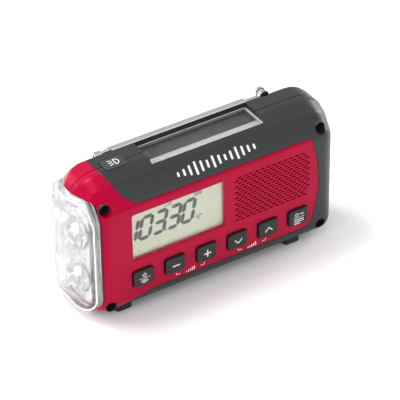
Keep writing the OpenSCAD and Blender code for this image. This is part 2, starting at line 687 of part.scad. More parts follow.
// ---- Battery ----
module battery_cell() color("#3f7fb5") {
    rod_x(cell_x0, cell_x0 + cell_l - 1.2, cell_y, cell_z, cell_d / 2);
    rod_x(cell_x0 + cell_l - 1.3, cell_x0 + cell_l, cell_y, cell_z, 3);
}
module battery_contacts() color("#c8c8c0") {
    for (i = [0 : 2]) rod_x(cell_x0 - 0.1 - (i + 1) * 0.8, cell_x0 - 0.1 - i * 0.8, cell_y, cell_z,
        3.5 + i * 0.7);
    block(cell_x0 + cell_l + 0.1, cell_x0 + cell_l + 0.6, cell_y - 5, cell_y + 5, cell_z - 5, cell_z + 5);
}
module battery_cradle() color(black) difference() {
    block(cell_x0 - 3.9, cell_x0 + cell_l + 1.9, 0.8, cell_y + 6, cell_z - cell_d / 2 - 1.2,
        cell_z + cell_d / 2 + 1);
    block(cell_x0 - 2.6, cell_x0 + cell_l + 0.7, cell_y, far, cell_z - cell_d / 2 - 0.15,
        cell_z + cell_d / 2 + 0.15);
    rod_x(cell_x0 - 2.6, cell_x0 + cell_l + 0.7, cell_y, cell_z, cell_d / 2 + 0.15);
}
module battery_door() color(charcoal) difference() {
    union() {
        block(door_x0, door_x1, half_d - 2.1, half_d, door_hinge_z, door_z1);
        rod_x(door_x0, door_x1, door_hinge_y, door_hinge_z, 1.1);
    }
    rod_x(door_x0 - 1, door_x1 + 1, door_hinge_y, door_hinge_z, 0.8 + running);
    for (i = [0 : 3]) block((door_x0 + door_x1) / 2 - 6, (door_x0 + door_x1) / 2 + 6, half_d - 0.6,
        half_d + 1,
        door_z1 - 3 - i * 1.6, door_z1 - 2.2 - i * 1.6);
}
module battery_door_pin() color("#a8aaac") rod_x(door_x0 - 0.9, door_x1 + 0.9, door_hinge_y,
    door_hinge_z, 0.8);

// ---- Ports ----
module port_cover() color(black) difference() {
    union() {
        slab(port_x, port_z, port_w, port_h, 2, port_y0 + 0.1, half_d + 0.4);
        slab(port_x, port_z + port_h / 2 - 1.6, 10, 1.6, 0.7, half_d, half_d + 1.4);
    }
    slab(port_x, port_z - port_h / 2 + 2.2, port_w - 6, 1, 0.4, half_d - 0.2, half_d + 1);
}
module usb_board() color("#1f6b3a") slab(port_x, port_z, 36, 14, 1, 6.4, 8);
module usb_sockets() color("#c0c2c4") {
    difference() {
        slab(port_x - 7, port_z, 13.2, 5.6, 0.5, 8.05, half_d - 1.4);
        slab(port_x - 7, port_z, 12.4, 4.8, 0.4, 10, half_d);
    }
    block(port_x - 12.6, port_x - 1.4, 9.9, half_d - 3, port_z + 0.3, port_z + 2);
    difference() {
        slab(port_x + 10, port_z, 9.2, 3.4, 1.6, 8.05, half_d - 1.4);
        slab(port_x + 10, port_z, 8.4, 2.6, 1.25, 10, half_d);
    }
    block(port_x + 6.8, port_x + 13.2, 9.9, half_d - 3, port_z - 0.35, port_z + 0.35);
}

front_cover();
front_frame();
rear_cover();
rear_end_cover();
housing_screws();
rubber_feet();
torch_lens();
lens_gasket();
torch_reflector();
torch_leds();
torch_led_board();
display_window();
display_module();
display_backlight();
main_board();
keypad_mat();
front_button(0);  // band_button
front_button(1);  // volume_down_button
front_button(2);  // volume_up_button
front_button(3);  // tune_down_button
front_button(4);  // tune_up_button
front_button(5);  // menu_button
torch_button();
torch_switch();
speaker_cloth();
speaker_basket();
speaker_cone();
speaker_magnet();
solar_window();
solar_cell();
solar_border();
antenna_base();
antenna_swivel();
antenna_hinge_pin();
antenna_tube_1();
antenna_tube_2();
antenna_tube_3();
antenna_rod();
antenna_clip();
crank_disc();
crank_arm();
crank_hinge_pin();
crank_knob();
crank_knob_pin();
crank_shaft();
drive_gear();
compound_gear();
compound_axle();
generator();
generator_pinion();
gearbox_plate();
battery_cell();
battery_contacts();
battery_cradle();
battery_door();
battery_door_pin();
port_cover();
usb_board();
usb_sockets();
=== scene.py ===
import json
import math

import bmesh
import bpy
from mathutils import Matrix, Vector
from mathutils.bvhtree import BVHTree
from mathutils.interpolate import poly_3d_calc


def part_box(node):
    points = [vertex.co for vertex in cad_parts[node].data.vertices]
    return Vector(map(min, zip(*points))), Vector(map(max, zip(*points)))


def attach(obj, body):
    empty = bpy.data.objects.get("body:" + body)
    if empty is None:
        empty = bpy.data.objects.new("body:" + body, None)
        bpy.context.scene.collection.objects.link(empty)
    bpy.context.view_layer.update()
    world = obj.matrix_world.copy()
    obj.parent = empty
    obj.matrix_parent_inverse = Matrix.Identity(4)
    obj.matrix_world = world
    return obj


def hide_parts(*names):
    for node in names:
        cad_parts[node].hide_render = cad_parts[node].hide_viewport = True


# Looks of the emergency radio. Shapes are worked out in millimetres and stored in metres.
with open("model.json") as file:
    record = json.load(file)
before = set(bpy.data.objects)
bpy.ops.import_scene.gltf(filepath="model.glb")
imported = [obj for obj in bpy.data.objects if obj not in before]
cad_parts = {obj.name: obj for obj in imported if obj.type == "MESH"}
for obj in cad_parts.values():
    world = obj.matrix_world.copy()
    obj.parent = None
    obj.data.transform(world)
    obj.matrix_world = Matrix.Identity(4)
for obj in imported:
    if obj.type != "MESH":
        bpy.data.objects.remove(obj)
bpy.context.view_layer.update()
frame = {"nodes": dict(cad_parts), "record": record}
NODES = frame["nodes"]
MM = 0.001
FAR = 200  # well past the housing on every side


def span(node):
    """Lowest and highest corners of a CAD node, in millimetres."""
    low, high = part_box(node)
    return low / MM, high / MM


def centre_of(node):
    """Middle of a CAD node, in millimetres, as plain numbers."""
    low, high = span(node)
    return [(a + b) / 2 for a, b in zip(low, high)]


# ---- Sizes of the housing: from the frame where it holds them, the rest as the part has them ----
lens_low, lens_high = span("torch_lens")
rear_low, rear_high = span("rear_cover")
end_low, end_high = span("rear_end_cover")
TORCH_X = end_low.x
PLAIN_X = rear_high.x
HALF_D = -span("front_cover")[0].y
FLOOR = rear_low.z
TOP = end_high.z
HEIGHT = TOP - FLOOR
WALL = 2.2
TORCH_R, PLAIN_R, CORNER_R, SHOULDER_R, BASE_R = 28, 32, 10, 18, 12
PANEL_TOP = TOP - 13.8
PANEL_BOTTOM = FLOOR + 8
SEAM_X = TORCH_X + 19.4
SEAM_GAP = 0.3
LENS_PROUD = TORCH_X - lens_low.x
LENS_BACK = lens_high.x
LENS_SEAT = LENS_BACK + 0.9
LEDGE_Z = span("antenna_clip")[0].z
SECTION = [(-HALF_D, FLOOR, 7), (-HALF_D, PANEL_TOP, 7), (-13.8, TOP - 3.7, 6), (-4.7, TOP, 8),
           (10.2, TOP, 2.5), (14.2, TOP - 4.1, 8), (HALF_D, PANEL_TOP, 6), (HALF_D, FLOOR, 7)]


# ---------------------------------------------------------------- mesh helpers
def mesh_object(name, verts, faces):
    """A new object from vertices in millimetres."""
    mesh = bpy.data.meshes.new(name)
    mesh.from_pydata([tuple(c * MM for c in v) for v in verts], [], faces)
    mesh.validate()
    obj = bpy.data.objects.new(name, mesh)
    bpy.context.scene.collection.objects.link(obj)
    return obj


def fix_normals(obj):
    bm = bmesh.new()
    bm.from_mesh(obj.data)
    bmesh.ops.recalc_face_normals(bm, faces=bm.faces)
    bm.to_mesh(obj.data)
    bm.free()
    return obj


def bake(obj):
    """Replaces the object's mesh with what its modifiers make of it."""
    bpy.context.view_layer.update()
    graph = bpy.context.evaluated_depsgraph_get()
    mesh = bpy.data.meshes.new_from_object(obj.evaluated_get(graph))
    obj.modifiers.clear()
    obj.data = mesh
    return obj


def boolean(obj, cutter, operation="DIFFERENCE"):
    """Cuts, joins or intersects obj with cutter, and removes the cutter."""
    mod = obj.modifiers.new("cut", "BOOLEAN")
    mod.operation = operation
    mod.solver = "MANIFOLD"
    mod.object = cutter
    bake(obj)
    bpy.data.objects.remove(cutter)
    return obj


def join(name, objects):
    """Joins objects into one, without cutting them."""
    verts, faces = [], []
    for o in objects:
        base = len(verts)
        verts += [v.co / MM for v in o.data.vertices]
        faces += [tuple(base + i for i in p.vertices) for p in o.data.polygons]
        bpy.data.objects.remove(o)
    return mesh_object(name, verts, faces)


def soften(obj, width):
    """Rounds an object's sharp edges and shades it smooth."""
    mod = obj.modifiers.new("edge", "BEVEL")
    mod.width = width * MM
    mod.segments = 3
    mod.limit_method = "ANGLE"
    mod.angle_limit = math.radians(30)
    mod.harden_normals = False
    bake(obj)
    return shade(obj)


def shade(obj, angle=32):
    obj.data.shade_smooth()
    obj.data.set_sharp_from_angle(angle=math.radians(angle))
    return obj


def corner(p, q, s, r, n):
    """Arc of radius r, in n steps, that rounds the corner q between p and s."""
    p, q, s = Vector(p), Vector(q), Vector(s)
    u, v = (p - q).normalized(), (s - q).normalized()
    half = math.acos(max(-1, min(1, u.dot(v)))) / 2
    centre = q + (u + v).normalized() * (r / math.sin(half))
    a = q + u * (r / math.tan(half)) - centre
    b = q + v * (r / math.tan(half)) - centre
    start = math.atan2(a.y, a.x)
    turn = (math.atan2(b.y, b.x) - start + math.pi) % (2 * math.pi) - math.pi
    return [centre + r * Vector((math.cos(start + turn * i / n), math.sin(start + turn * i / n)))
            for i in range(n + 1)]


def rounded(corners, n):
    """Closed outline whose corners are (x, y, radius)."""
    m = len(corners)
    points = []
    for i, (x, y, r) in enumerate(corners):
        before, after = corners[(i - 1) % m][:2], corners[(i + 1) % m][:2]
        points += corner(before, (x, y), after, r, n) if r > 0 else [Vector((x, y))]
    return points


def rect(cx, cy, w, h, r, n=8):
    return rounded([(cx - w / 2, cy - h / 2, r), (cx + w / 2, cy - h / 2, r),
                    (cx + w / 2, cy + h / 2, r), (cx - w / 2, cy + h / 2, r)], n)


def box_outline(x0, y0, x1, y1):
    return [Vector((x0, y0)), Vector((x1, y0)), Vector((x1, y1)), Vector((x0, y1))]


def full_turn(n):
    """n angles that share out a whole turn."""
    return [2 * math.pi * i / n for i in range(n)]


def quarter_turn(n):
    """n + 1 angles from nothing to a right angle."""
    return [math.pi / 2 * i / n for i in range(n + 1)]


def circle(cx, cy, r, n=48):
    return [Vector((cx + r * math.cos(a), cy + r * math.sin(a))) for a in full_turn(n)]


AXES = {"x": lambda u, v, w: (w, u, v), "y": lambda u, v, w: (u, w, v), "z": lambda u, v, w: (u, v, w)}


def loft(name, sections, axis):
    """Solid through sections of (place along axis, outline); every outline has as many points."""
    place = AXES[axis]
    m = len(sections[0][1])
    verts = [place(p[0], p[1], w) for w, outline in sections for p in outline]
    faces = [tuple(range(m)), tuple(range(len(verts) - m, len(verts)))]
    for i in range(len(sections) - 1):
        for j in range(m):
            a, b = i * m + j, i * m + (j + 1) % m
            faces.append((a, b, b + m, a + m))
    return fix_normals(mesh_object(name, verts, faces))


def prism(name, outline, axis, w0, w1):
    return loft(name, [(w0, outline), (w1, outline)], axis)


def fillets(w0, w1, r, steps=4, both=True):
    """(place, inset) pairs that round the far edge, and the near one too, of a slab from w0 to w1."""
    sign = 1 if w1 > w0 else -1
    turns = quarter_turn(steps)
    far = [(w1 - sign * r * (1 - math.sin(t)), r * (1 - math.cos(t))) for t in turns]
    near = [(w0, 0)]
    if both:
        near = [(w0 + sign * r * (1 - math.cos(t)), r * (1 - math.sin(t))) for t in turns]
    return near + far


def flare(w, r):
    """(place, widening) pairs of a hole's rounded mouth that starts at w."""
    return [(w + r * math.sin(t), r * (1 - math.cos(t))) for t in (0.5, 1.0, 1.57)]


def pillow(name, outline, axis, w0, w1, r, both=True, crown=0.0):
    """Slab with rounded edges; outline(inset) gives its outline. crown lifts the middle of the far face."""
    sections = [(w, outline(g)) for w, g in fillets(w0, w1, r, 5, both)]
    if crown:
        sign = 1 if w1 > w0 else -1
        for i in range(1, 7):
            share = i / 7
            flat = outline(r)
            centre = sum(flat, Vector((0, 0))) / len(flat)
            shrunk = [centre + (p - centre) * (1 - share) for p in flat]
            sections.append((w1 + sign * crown * (1 - (1 - share) ** 2), shrunk))
    return shade(loft(name, sections, axis))


def turned(name, profile, centre, axis, n=48):
    """Solid of revolution from (place along axis, radius) pairs about an axis through centre (u, v)."""
    profile = [(w, max(r, 0.01)) for w, r in profile]
    return loft(name, [(w, circle(centre[0], centre[1], r, n)) for w, r in profile], axis)


def ring_faces(n, m):
    """Faces of a closed ring of n profiles with m points each."""
    return [(i * m + j, i * m + (j + 1) % m, (i + 1) % n * m + (j + 1) % m, (i + 1) % n * m + j)
            for i in range(n) for j in range(m)]


def ring_of(name, profile, centre, axis, n=48):
    """Closed ring of revolution: profile is a closed loop of (place along axis, radius)."""
    place = AXES[axis]
    verts = []
    for a in full_turn(n):
        verts += [place(centre[0] + r * math.cos(a), centre[1] + r * math.sin(a), w) for w, r in profile]
    return fix_normals(mesh_object(name, verts, ring_faces(n, len(profile))))


def tube(name, path, normals, radius, closed=False, sides=8):
    """Round tube along a path, used to cut grooves."""
    verts, faces = [], []
    count = len(path)
    for i, (p, up) in enumerate(zip(path, normals)):
        ahead = path[(i + 1) % count] if closed or i + 1 < count else p
        behind = path[i - 1] if closed or i else p
        along = (ahead - behind).normalized()
        side = along.cross(up).normalized()
        up = side.cross(along)
        verts += [p + radius * (math.cos(a) * side + math.sin(a) * up) for a in full_turn(sides)]
    for i in range(count if closed else count - 1):
        for k in range(sides):
            j, b = (i + 1) % count, (k + 1) % sides
            faces.append((i * sides + k, i * sides + b, j * sides + b, j * sides + k))
    if not closed:
        faces += [tuple(range(sides)), tuple(range(len(verts) - sides, len(verts)))]
    return fix_normals(mesh_object(name, verts, faces))


# ---------------------------------------------------------------- the housing's form
def end_rings(end_r, e, n):
    """Rings of one end as (distance inboard, half depth)."""
    r, f, d = end_r - e, CORNER_R - e, HALF_D - e
    bx, by = math.sqrt((r - f) ** 2 - (d - f) ** 2), d - f
    meet = math.atan2(by, bx)
    out = []
    for i in range(1, n + 1):
        a = meet * i / n
        out.append((r - r * math.cos(a), r * math.sin(a)))
    for i in range(1, n // 2 + 1):
        a = meet + (math.pi / 2 - meet) * i / (n // 2)
        out.append((r - bx - f * math.cos(a), by + f * math.sin(a)))
    return out + [(SHOULDER_R + 0.5, d)]


def drop(t, r):
    return r - math.sqrt(r * r - (r - t) ** 2) if t < r else 0


def form(name, e=0.0, n=36, k=9):
    """The housing's outer form, inset by e."""
    edge = rounded(SECTION, k)
    rings = [(TORCH_X + e + t, d, t) for t, d in end_rings(TORCH_R, e, n)]
    rings += [(PLAIN_X - e - t, d, t) for t, d in reversed(end_rings(PLAIN_R, e, n))]
    sections = []
    for x, d, t in rings:
        z0 = FLOOR + e + drop(t, BASE_R - e)
        z1 = TOP - e - drop(t, SHOULDER_R - e)
        outline = [(p.x * d / HALF_D, z0 + (p.y - FLOOR) * (z1 - z0) / HEIGHT) for p in edge]
        sections.append((x, outline))
    return loft(name, sections, "x")


class Skin:
    """A form that rays and points are measured against, with its smooth normals."""

    def __init__(self, obj):
        self.verts = [v.co.copy() for v in obj.data.vertices]
        self.normals = [v.normal.copy() for v in obj.data.vertices]
        self.faces = [tuple(p.vertices) for p in obj.data.polygons]
        self.tree = BVHTree.FromPolygons(self.verts, self.faces)
        bpy.data.objects.remove(obj)

    def hit(self, origin, direction):
        """Where a ray in millimetres meets the form, and the smooth normal there."""
        place, _, index, _ = self.tree.ray_cast(Vector(origin) * MM, Vector(direction))
        return (place / MM, self.normal(place, index)) if place else (None, None)

    def normal(self, place, index):
        face = self.faces[index]
        weights = poly_3d_calc([self.verts[i] for i in face], place)
        return sum((self.normals[i] * w for i, w in zip(face, weights)), Vector()).normalized()


SKIN = Skin(form("skin"))


def skin_shading(obj):
    """Gives the faces that lie on the form the form's own smooth normals."""
    mesh = obj.data
    mesh.shade_smooth()
    mesh.set_sharp_from_angle(angle=math.radians(25))
    normals = [Vector(c.vector) for c in mesh.corner_normals]
    for p in mesh.polygons:
        centre_hit = SKIN.tree.find_nearest(p.center)
        if centre_hit[0] is None or centre_hit[3] > 0.08 * MM:
            continue
        for loop in p.loop_indices:
            place = mesh.vertices[mesh.loops[loop].vertex_index].co
            hit, _, index, distance = SKIN.tree.find_nearest(place)
            if hit is None or distance > 0.02 * MM:
                continue
            normal = SKIN.normal(hit, index)
            if normal.dot(p.normal) > 0.9:
                normals[loop] = normal
    mesh.normals_split_custom_set(normals)
    return obj


def shell(name):
    """The hollow housing: the form and its inner face as one closed mesh."""
    outer, inner = form(name + "_out"), form(name + "_in", WALL, 12, 3)
    inner.data.flip_normals()
    return join(name, [outer, inner])


# ---- Seams ----
def bulge(a):
    r = 79.2
    a = math.radians(a)
    return Vector((67 - r + r * math.cos(a), 40.9 + r * math.sin(a)))


def front_seam():
    """Outline of the red front, from the top round to the bottom left."""
    points = corner((SEAM_X, TOP), (SEAM_X + 7.6, PANEL_TOP), (0, PANEL_TOP), 14, 14)
    points += corner((0, PANEL_TOP), (61.8, PANEL_TOP), bulge(16), 3, 6)
    points += [bulge(a) for a in range(15, -16, -2)]
    points += corner(bulge(-15), (62, PANEL_BOTTOM), (0, PANEL_BOTTOM), 8, 8)
    points += corner((0, PANEL_BOTTOM), (-38, PANEL_BOTTOM), (-72, FLOOR + 0.2), 40, 10)
    return points


def front_outline(gap):
    """The seam closed round the torch end, moved outwards by gap."""
    far = 300
    points = [Vector((-far, far)), Vector((SEAM_X - far * 0.54, TOP + far))] + front_seam()
    points += [Vector((-72, FLOOR + 0.2)), Vector((-72, -far)), Vector((-far, -far))]
    out = []
    for i, p in enumerate(points):
        a, b = (p - points[i - 1]).normalized(), (points[(i + 1) % len(points)] - p).normalized()
        normal = Vector((-(a.y + b.y), a.x + b.x)).normalized()
        out.append(p + normal * gap)
    return out


def spread(points, step):
    """Points about step apart along a polyline."""
    out = [points[0]]
    for a, b in zip(points, points[1:]):
        count = max(1, round((b - a).length / step))
        out += [a.lerp(b, i / count) for i in range(1, count + 1)]
    return out


def look_in(middle, ways):
    """Places and normals where rays that come in towards middle meet the form."""
    hits = [SKIN.hit(middle + Vector(way) * 200, -Vector(way)) for way in ways]
    return [place for place, _ in hits], [up for _, up in hits]


def grooves():
    """Cutters for the soft-edged grooves along the seams."""
    path, ups = [], []
    for x in (1.5, -1, -3):
        hit, up = SKIN.hit((SEAM_X + 0.1, x, 200), (0, 0, -1))
        path.append(hit)
        ups.append(up)
    line = [Vector((SEAM_X + 0.1, TOP - 0.1))] + front_seam() + [Vector((-72, FLOOR + 0.3))]
    for p in spread(line, 1.2):
        hit, up = SKIN.hit((p.x, -200, p.y), (0, 1, 0))
        if hit and (hit - path[-1]).length > 0.7:
            path.append(hit)
            ups.append(up)
    front = tube("groove_front", [p + u * 0.25 for p, u in zip(path, ups)], ups, 0.5)
    middle_z = (TOP + FLOOR) / 2
    path, ups = look_in(Vector((0, 0, middle_z)), [(math.cos(a), 0, math.sin(a)) for a in full_turn(460)])
    ring = tube("groove_ring", [p + u * 0.22 for p, u in zip(path, ups)], ups, 0.42, closed=True)
    turns = [math.radians(-92 + 184 * i / 120) for i in range(121)]
    path, ups = look_in(Vector((SEAM_X, 0, middle_z)), [(0, math.cos(a), math.sin(a)) for a in turns])
    back = tube("groove_back", [p + u * 0.25 for p, u in zip(path, ups)], ups, 0.5)
    return {"front": front, "ring": ring, "back": back}


def twin(obj):
    copy = bpy.data.objects.new(obj.name + "_twin", obj.data.copy())
    bpy.context.scene.collection.objects.link(copy)
    return copy


def lens_outline(g):
    half, low, high = 21.9 + g, FLOOR + 3 - g, FLOOR + 72.3 + g
    return rounded([(-half, low, 9 + g), (-half, high, 13 + g), (half, high, 13 + g), (half, low, 9 + g)], 12)


def lens_hole():
    return prism("lens", lens_outline(0.15), "x", -300, LENS_SEAT)


def slab_hole(box_low, box_high, r, grow, edge, face, inward, depth=8):
    """Cutter for a rounded opening through the front (or back) with softened edges."""
    cx, cz = (box_low.x + box_high.x) / 2, (box_low.z + box_high.z) / 2
    w, h = box_high.x - box_low.x + 2 * grow, box_high.z - box_low.z + 2 * grow
    sections = [(face - inward * 6, edge), (face - inward * 0.02, edge)]
    sections += [(face + inward * edge * math.sin(t), edge * (1 - math.sin(t))) for t in quarter_turn(5)[1:]]
    sections.append((face + inward * depth, 0))
    return loft("hole", [(y, rect(cx, cz, w + 2 * g, h + 2 * g, r + g, 6)) for y, g in sections], "y")


SCREWS = [(-67, 71), (69.5, 72.5), (-66.5, 7.8), (69, 9)]
SCREW_FLOOR = -13
BORE_R, CLEAR_R = 3.3, 1.7
FRONT_BUTTONS = ["band_button", "volume_down_button", "volume_up_button", "tune_down_button",
                 "tune_up_button", "menu_button"]


def bosses(which, y0, y1, r):
    posts = join("posts", [turned("post", [(y0, r), (y1, r)], SCREWS[i], "y", 40) for i in which])
    return boolean(posts, form("inner", 0.9, 12, 3), "INTERSECT")


def counterbores(obj, which):
    for i in which:
        boolean(obj, turned("bore", [(-60, BORE_R), (SCREW_FLOOR, BORE_R)], SCREWS[i], "y", 48))
        boolean(obj, turned("clear", [(SCREW_FLOOR - 1, CLEAR_R), (0, CLEAR_R)], SCREWS[i], "y", 24))


def grille():
    """The speaker's slots, cut as one mesh."""
    cols, rows, w, h, pitch_x, pitch_z = 13, 16, 2.7, 1.0, 3.72, 1.87
    cx, _, cz = centre_of("speaker_cloth")
    slots = []
    for row in range(rows):
        for col in range(cols):
            z = (row - (rows - 1) / 2) * pitch_z
            x = (col - (cols - 1) / 2 + (row % 2) / 2 - 0.25) * pitch_x
            if x < 0 or abs(x) + 0.55 * abs(z) < 29.5:
                slots.append(prism("slot", rect(cx + x, cz + z, w, h, 0.3, 2), "y", -HALF_D - 2, -HALF_D + 4))
    return join("slots", slots)


def ledge():
    """Cutter for the aerial's ledge along the rear top edge."""
    cx, cy, _ = centre_of("antenna_swivel")
    outline = rounded([(-200, 10.7, 0), (cx + 5, 10.7, 1.2), (cx + 5, 60, 0), (-200, 60, 0)], 5)
    pocket = [(LEDGE_Z - 5, 4.7), (TOP + 20, 4.7)]
    return [prism("ledge", outline, "z", LEDGE_Z, TOP + 20), turned("pocket", pocket, (cx, cy), "z", 48)]


def seat(x0, x1):
    """Material under the ledge."""
    block = prism("seat", box_outline(x0, 9.1, x1, 22), "z", LEDGE_Z - 1.8, TOP - 0.5)
    return boolean(block, form("inner", 0.9, 12, 3), "INTERSECT")


def solar_hole():
    low, high = span("solar_window")
    cx, cy, _ = centre_of("solar_window")
    outline = rect(cx, cy, high.x - low.x + 0.3, high.y - low.y + 0.3, 0.4, 3)
    return prism("recess", outline, "z", low.z - 1.2, TOP + 8)


def solar_tray(y0, y1):
    low, high = span("solar_window")
    outline = box_outline(low.x - WALL, y0, high.x + WALL, y1)
    return prism("tray", outline, "z", low.z - 2.8, low.z - 0.2)


def torch_hole():
    low, high = span("torch_button")
    cx, cy, _ = centre_of("torch_button")
    w, d = high.x - low.x - 2 + 0.6, high.y - low.y - 1.2 + 0.6
    sections = [(TOP - 8, 0), (TOP - 0.4, 0)] + flare(TOP - 0.4, 0.4) + [(TOP + 8, 0.4)]
    return loft("hole", [(z, rect(cx, cy, w + 2 * g, d + 2 * g, 2.3 + g, 6)) for z, g in sections], "z")


def foot_holes():
    low, high = span("rubber_feet")
    holes = []
    for x in (low.x + 5, high.x - 5):
        for y in (low.y + 4.2, high.y - 4.2):
            holes.append(prism("hole", rect(x, y, 10.4, 8.8, 2.2, 6), "z", FLOOR - 2, FLOOR + 1.7))
    return join("foot_holes", holes)


CUTS = grooves()


def carve(obj, cutters):
    for cutter in cutters:
        boolean(obj, cutter)


def finish_shell(obj, node, seam):
    """Cuts the seam grooves, then shades, names and fastens a shell."""
    carve(obj, [twin(CUTS[seam]), twin(CUTS["ring"])])
    skin_shading(obj)
    obj.name = node.replace("_cover", "_shell").replace("_frame", "_surround")
    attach(obj, "housing")
    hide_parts(node)
    return obj


def make_front_cover():
    obj = shell("red_front")
    boolean(obj, bosses([0, 2], -HALF_D, SCREW_FLOOR + 2, BORE_R + 1.6), "UNION")
    boolean(obj, prism("keep", front_outline(SEAM_GAP / 2), "y", -FAR, -SEAM_GAP / 2), "INTERSECT")
    counterbores(obj, [0, 2])
    low, high = span("display_window")
    window = slab_hole(low, high, 1.1, 0.1, 0.35, -HALF_D, 1)
    inset = Vector((1.1, 0, 1.1))
    holes = [slab_hole(low + inset, high - inset, 2.0, 0.3, 0.35, -HALF_D, 1)
             for low, high in map(span, FRONT_BUTTONS)]
    carve(obj, [lens_hole(), window, join("holes", holes), grille()])
    return finish_shell(obj, "front_cover", "front")


def make_front_frame():
    obj = shell("charcoal_front")
    boolean(obj, prism("keep", box_outline(-FAR, -FAR, FAR, FAR), "y", -FAR, -SEAM_GAP / 2), "INTERSECT")
    boolean(obj, prism("red", front_outline(-SEAM_GAP / 2), "y", -250, 50))
    boolean(obj, bosses([1, 3], -HALF_D, SCREW_FLOOR + 2, BORE_R + 1.6), "UNION")
    boolean(obj, solar_tray(span("solar_window")[0].y - WALL, -SEAM_GAP / 2), "UNION")
    counterbores(obj, [1, 3])
    carve(obj, [solar_hole(), torch_hole(), foot_holes()])
    return finish_shell(obj, "front_frame", "front")


def make_rear_end():
    obj = shell("red_rear")
    edge = SEAM_X - SEAM_GAP / 2
    boolean(obj, prism("keep", box_outline(-FAR, -FAR, edge, FAR), "y", SEAM_GAP / 2, FAR), "INTERSECT")
    boolean(obj, seat(LENS_SEAT + 1, edge), "UNION")
    carve(obj, [lens_hole()] + ledge())
    return finish_shell(obj, "rear_end_cover", "back")


def make_rear_cover():
    obj = shell("charcoal_rear")
    edge = SEAM_X + SEAM_GAP / 2
    boolean(obj, prism("keep", box_outline(edge, -FAR, FAR, FAR), "y", SEAM_GAP / 2, FAR), "INTERSECT")
    low, high = span("crank_disc")
    r = (high.x - low.x) / 2
    axis = ((low.x + high.x) / 2, low.z + r)
    floor_y = low.y - 0.4
    well = [(floor_y - 1.6, r + 2.1), (HALF_D - 0.5, r + 2.1)]
    boolean(obj, turned("well", well, axis, "y", 96), "UNION")
    boolean(obj, seat(SEAM_X + 0.15, 59.6), "UNION")
    boolean(obj, solar_tray(SEAM_GAP / 2, span("solar_window")[1].y + 1.35), "UNION")
    bore = [(floor_y, r + 0.5), (HALF_D - 0.6, r + 0.5)]
    bore += [(y, r + 0.5 + g) for y, g in flare(HALF_D - 0.6, 0.6)] + [(60, r + 1.1)]
    door_low, door_high = span("battery_door")
    door_low, door_high = door_low - Vector((0.2, 0, 0.32)), door_high + Vector((0.2, 0, 0.2))
    carve(obj, ledge() + [solar_hole(), torch_hole(), foot_holes(), turned("bore", bore, axis, "y", 128),
                          slab_hole(door_low, door_high, 0.25, 0, 0.3, HALF_D, -1),
                          slab_hole(*span("port_cover"), 2.0, 0.3, 0.3, HALF_D, -1, depth=1.2)])
    port_x, _, port_z = centre_of("port_cover")
    for x, w, h, r in ((port_x - 7, 13.6, 6, 0.6), (port_x + 10, 9.8, 4, 1.9)):
        boolean(obj, prism("socket", rect(x, port_z, w, h, r), "y", 0, 60))
    return finish_shell(obj, "rear_cover", "back")


red_front = make_front_cover()
charcoal_front = make_front_frame()
red_rear = make_rear_end()
charcoal_rear = make_rear_cover()
for cutter in CUTS.values():
    bpy.data.objects.remove(cutter)

# ---------------------------------------------------------------- materials
def node_of(tree, kind, **values):
    node = tree.nodes.new(kind)
    for key, value in values.items():
        if hasattr(node, key):
            setattr(node, key, value)
        else:
            node.inputs[key.replace("_", " ").title()].default_value = value
    return node


def texture(tree, kind, place, **values):
    node = node_of(tree, kind, **values)
    tree.links.new(place, node.inputs["Vector"])
    return node


def base_material(name, roughness=0.5, metallic=0.0, ior=1.5, coat=0.0, coat_roughness=0.1, transmission=0.0,
                  sheen=0.0, specular=0.5, alpha=1.0, tint=(1, 1, 1)):
    mat = bpy.data.materials.new(name)
    mat.use_nodes = True
    shader = mat.node_tree.nodes["Principled BSDF"]
    for key, value in (("Roughness", roughness), ("Metallic", metallic), ("IOR", ior), ("Coat Weight", coat),
                       ("Coat Roughness", coat_roughness), ("Transmission Weight", transmission),
                       ("Sheen Weight", sheen), ("Specular IOR Level", specular), ("Alpha", alpha)):
        shader.inputs[key].default_value = value
    shader.inputs["Specular Tint"].default_value = (*tint, 1)
    return mat, mat.node_tree, shader


def mottled(tree, shader, low, high, scale, place):
    """Colour that drifts between two tones."""
    noise = texture(tree, "ShaderNodeTexNoise", place, Scale=scale, Detail=3.0)
    mix = node_of(tree, "ShaderNodeMix", data_type="RGBA")
    mix.inputs["A"].default_value = (*low, 1)
    mix.inputs["B"].default_value = (*high, 1)
    tree.links.new(noise.outputs["Fac"], mix.inputs["Factor"])
    tree.links.new(mix.outputs["Result"], shader.inputs["Base Color"])


def roughness_drift(tree, shader, low, high, scale, place):
    noise = texture(tree, "ShaderNodeTexNoise", place, Scale=scale, Detail=4.0)
    span_of = node_of(tree, "ShaderNodeMapRange")
    span_of.inputs["To Min"].default_value = low
    span_of.inputs["To Max"].default_value = high
    tree.links.new(noise.outputs["Fac"], span_of.inputs["Value"])
    tree.links.new(span_of.outputs["Result"], shader.inputs["Roughness"])


def relief(tree, shader, height, strength, depth):
    bump = node_of(tree, "ShaderNodeBump", Strength=strength)
    bump.inputs["Distance"].default_value = depth * MM
    tree.links.new(height, bump.inputs["Height"])
    tree.links.new(bump.outputs["Normal"], shader.inputs["Normal"])


def place_of(tree):
    return node_of(tree, "ShaderNodeTexCoord").outputs["Object"]


def tone(color, factor):
    return tuple(min(1, c * factor) for c in color)


def moulded(name, color, rough, grain=5200, depth=0.02, variety=0.1, **extra):
    """Injection-moulded plastic or rubber: a fine spark-eroded grain over slow drifts of tone and gloss."""
    mat, tree, shader = base_material(name, roughness=rough, **extra)
    place = place_of(tree)
    mottled(tree, shader, tone(color, 1 - variety), tone(color, 1 + variety), 60, place)
    roughness_drift(tree, shader, rough * 0.85, min(1, rough * 1.2), 140, place)
    fine = texture(tree, "ShaderNodeTexNoise", place, Scale=grain, Detail=5.0)
    relief(tree, shader, fine.outputs["Fac"], 0.5, depth)
    return mat


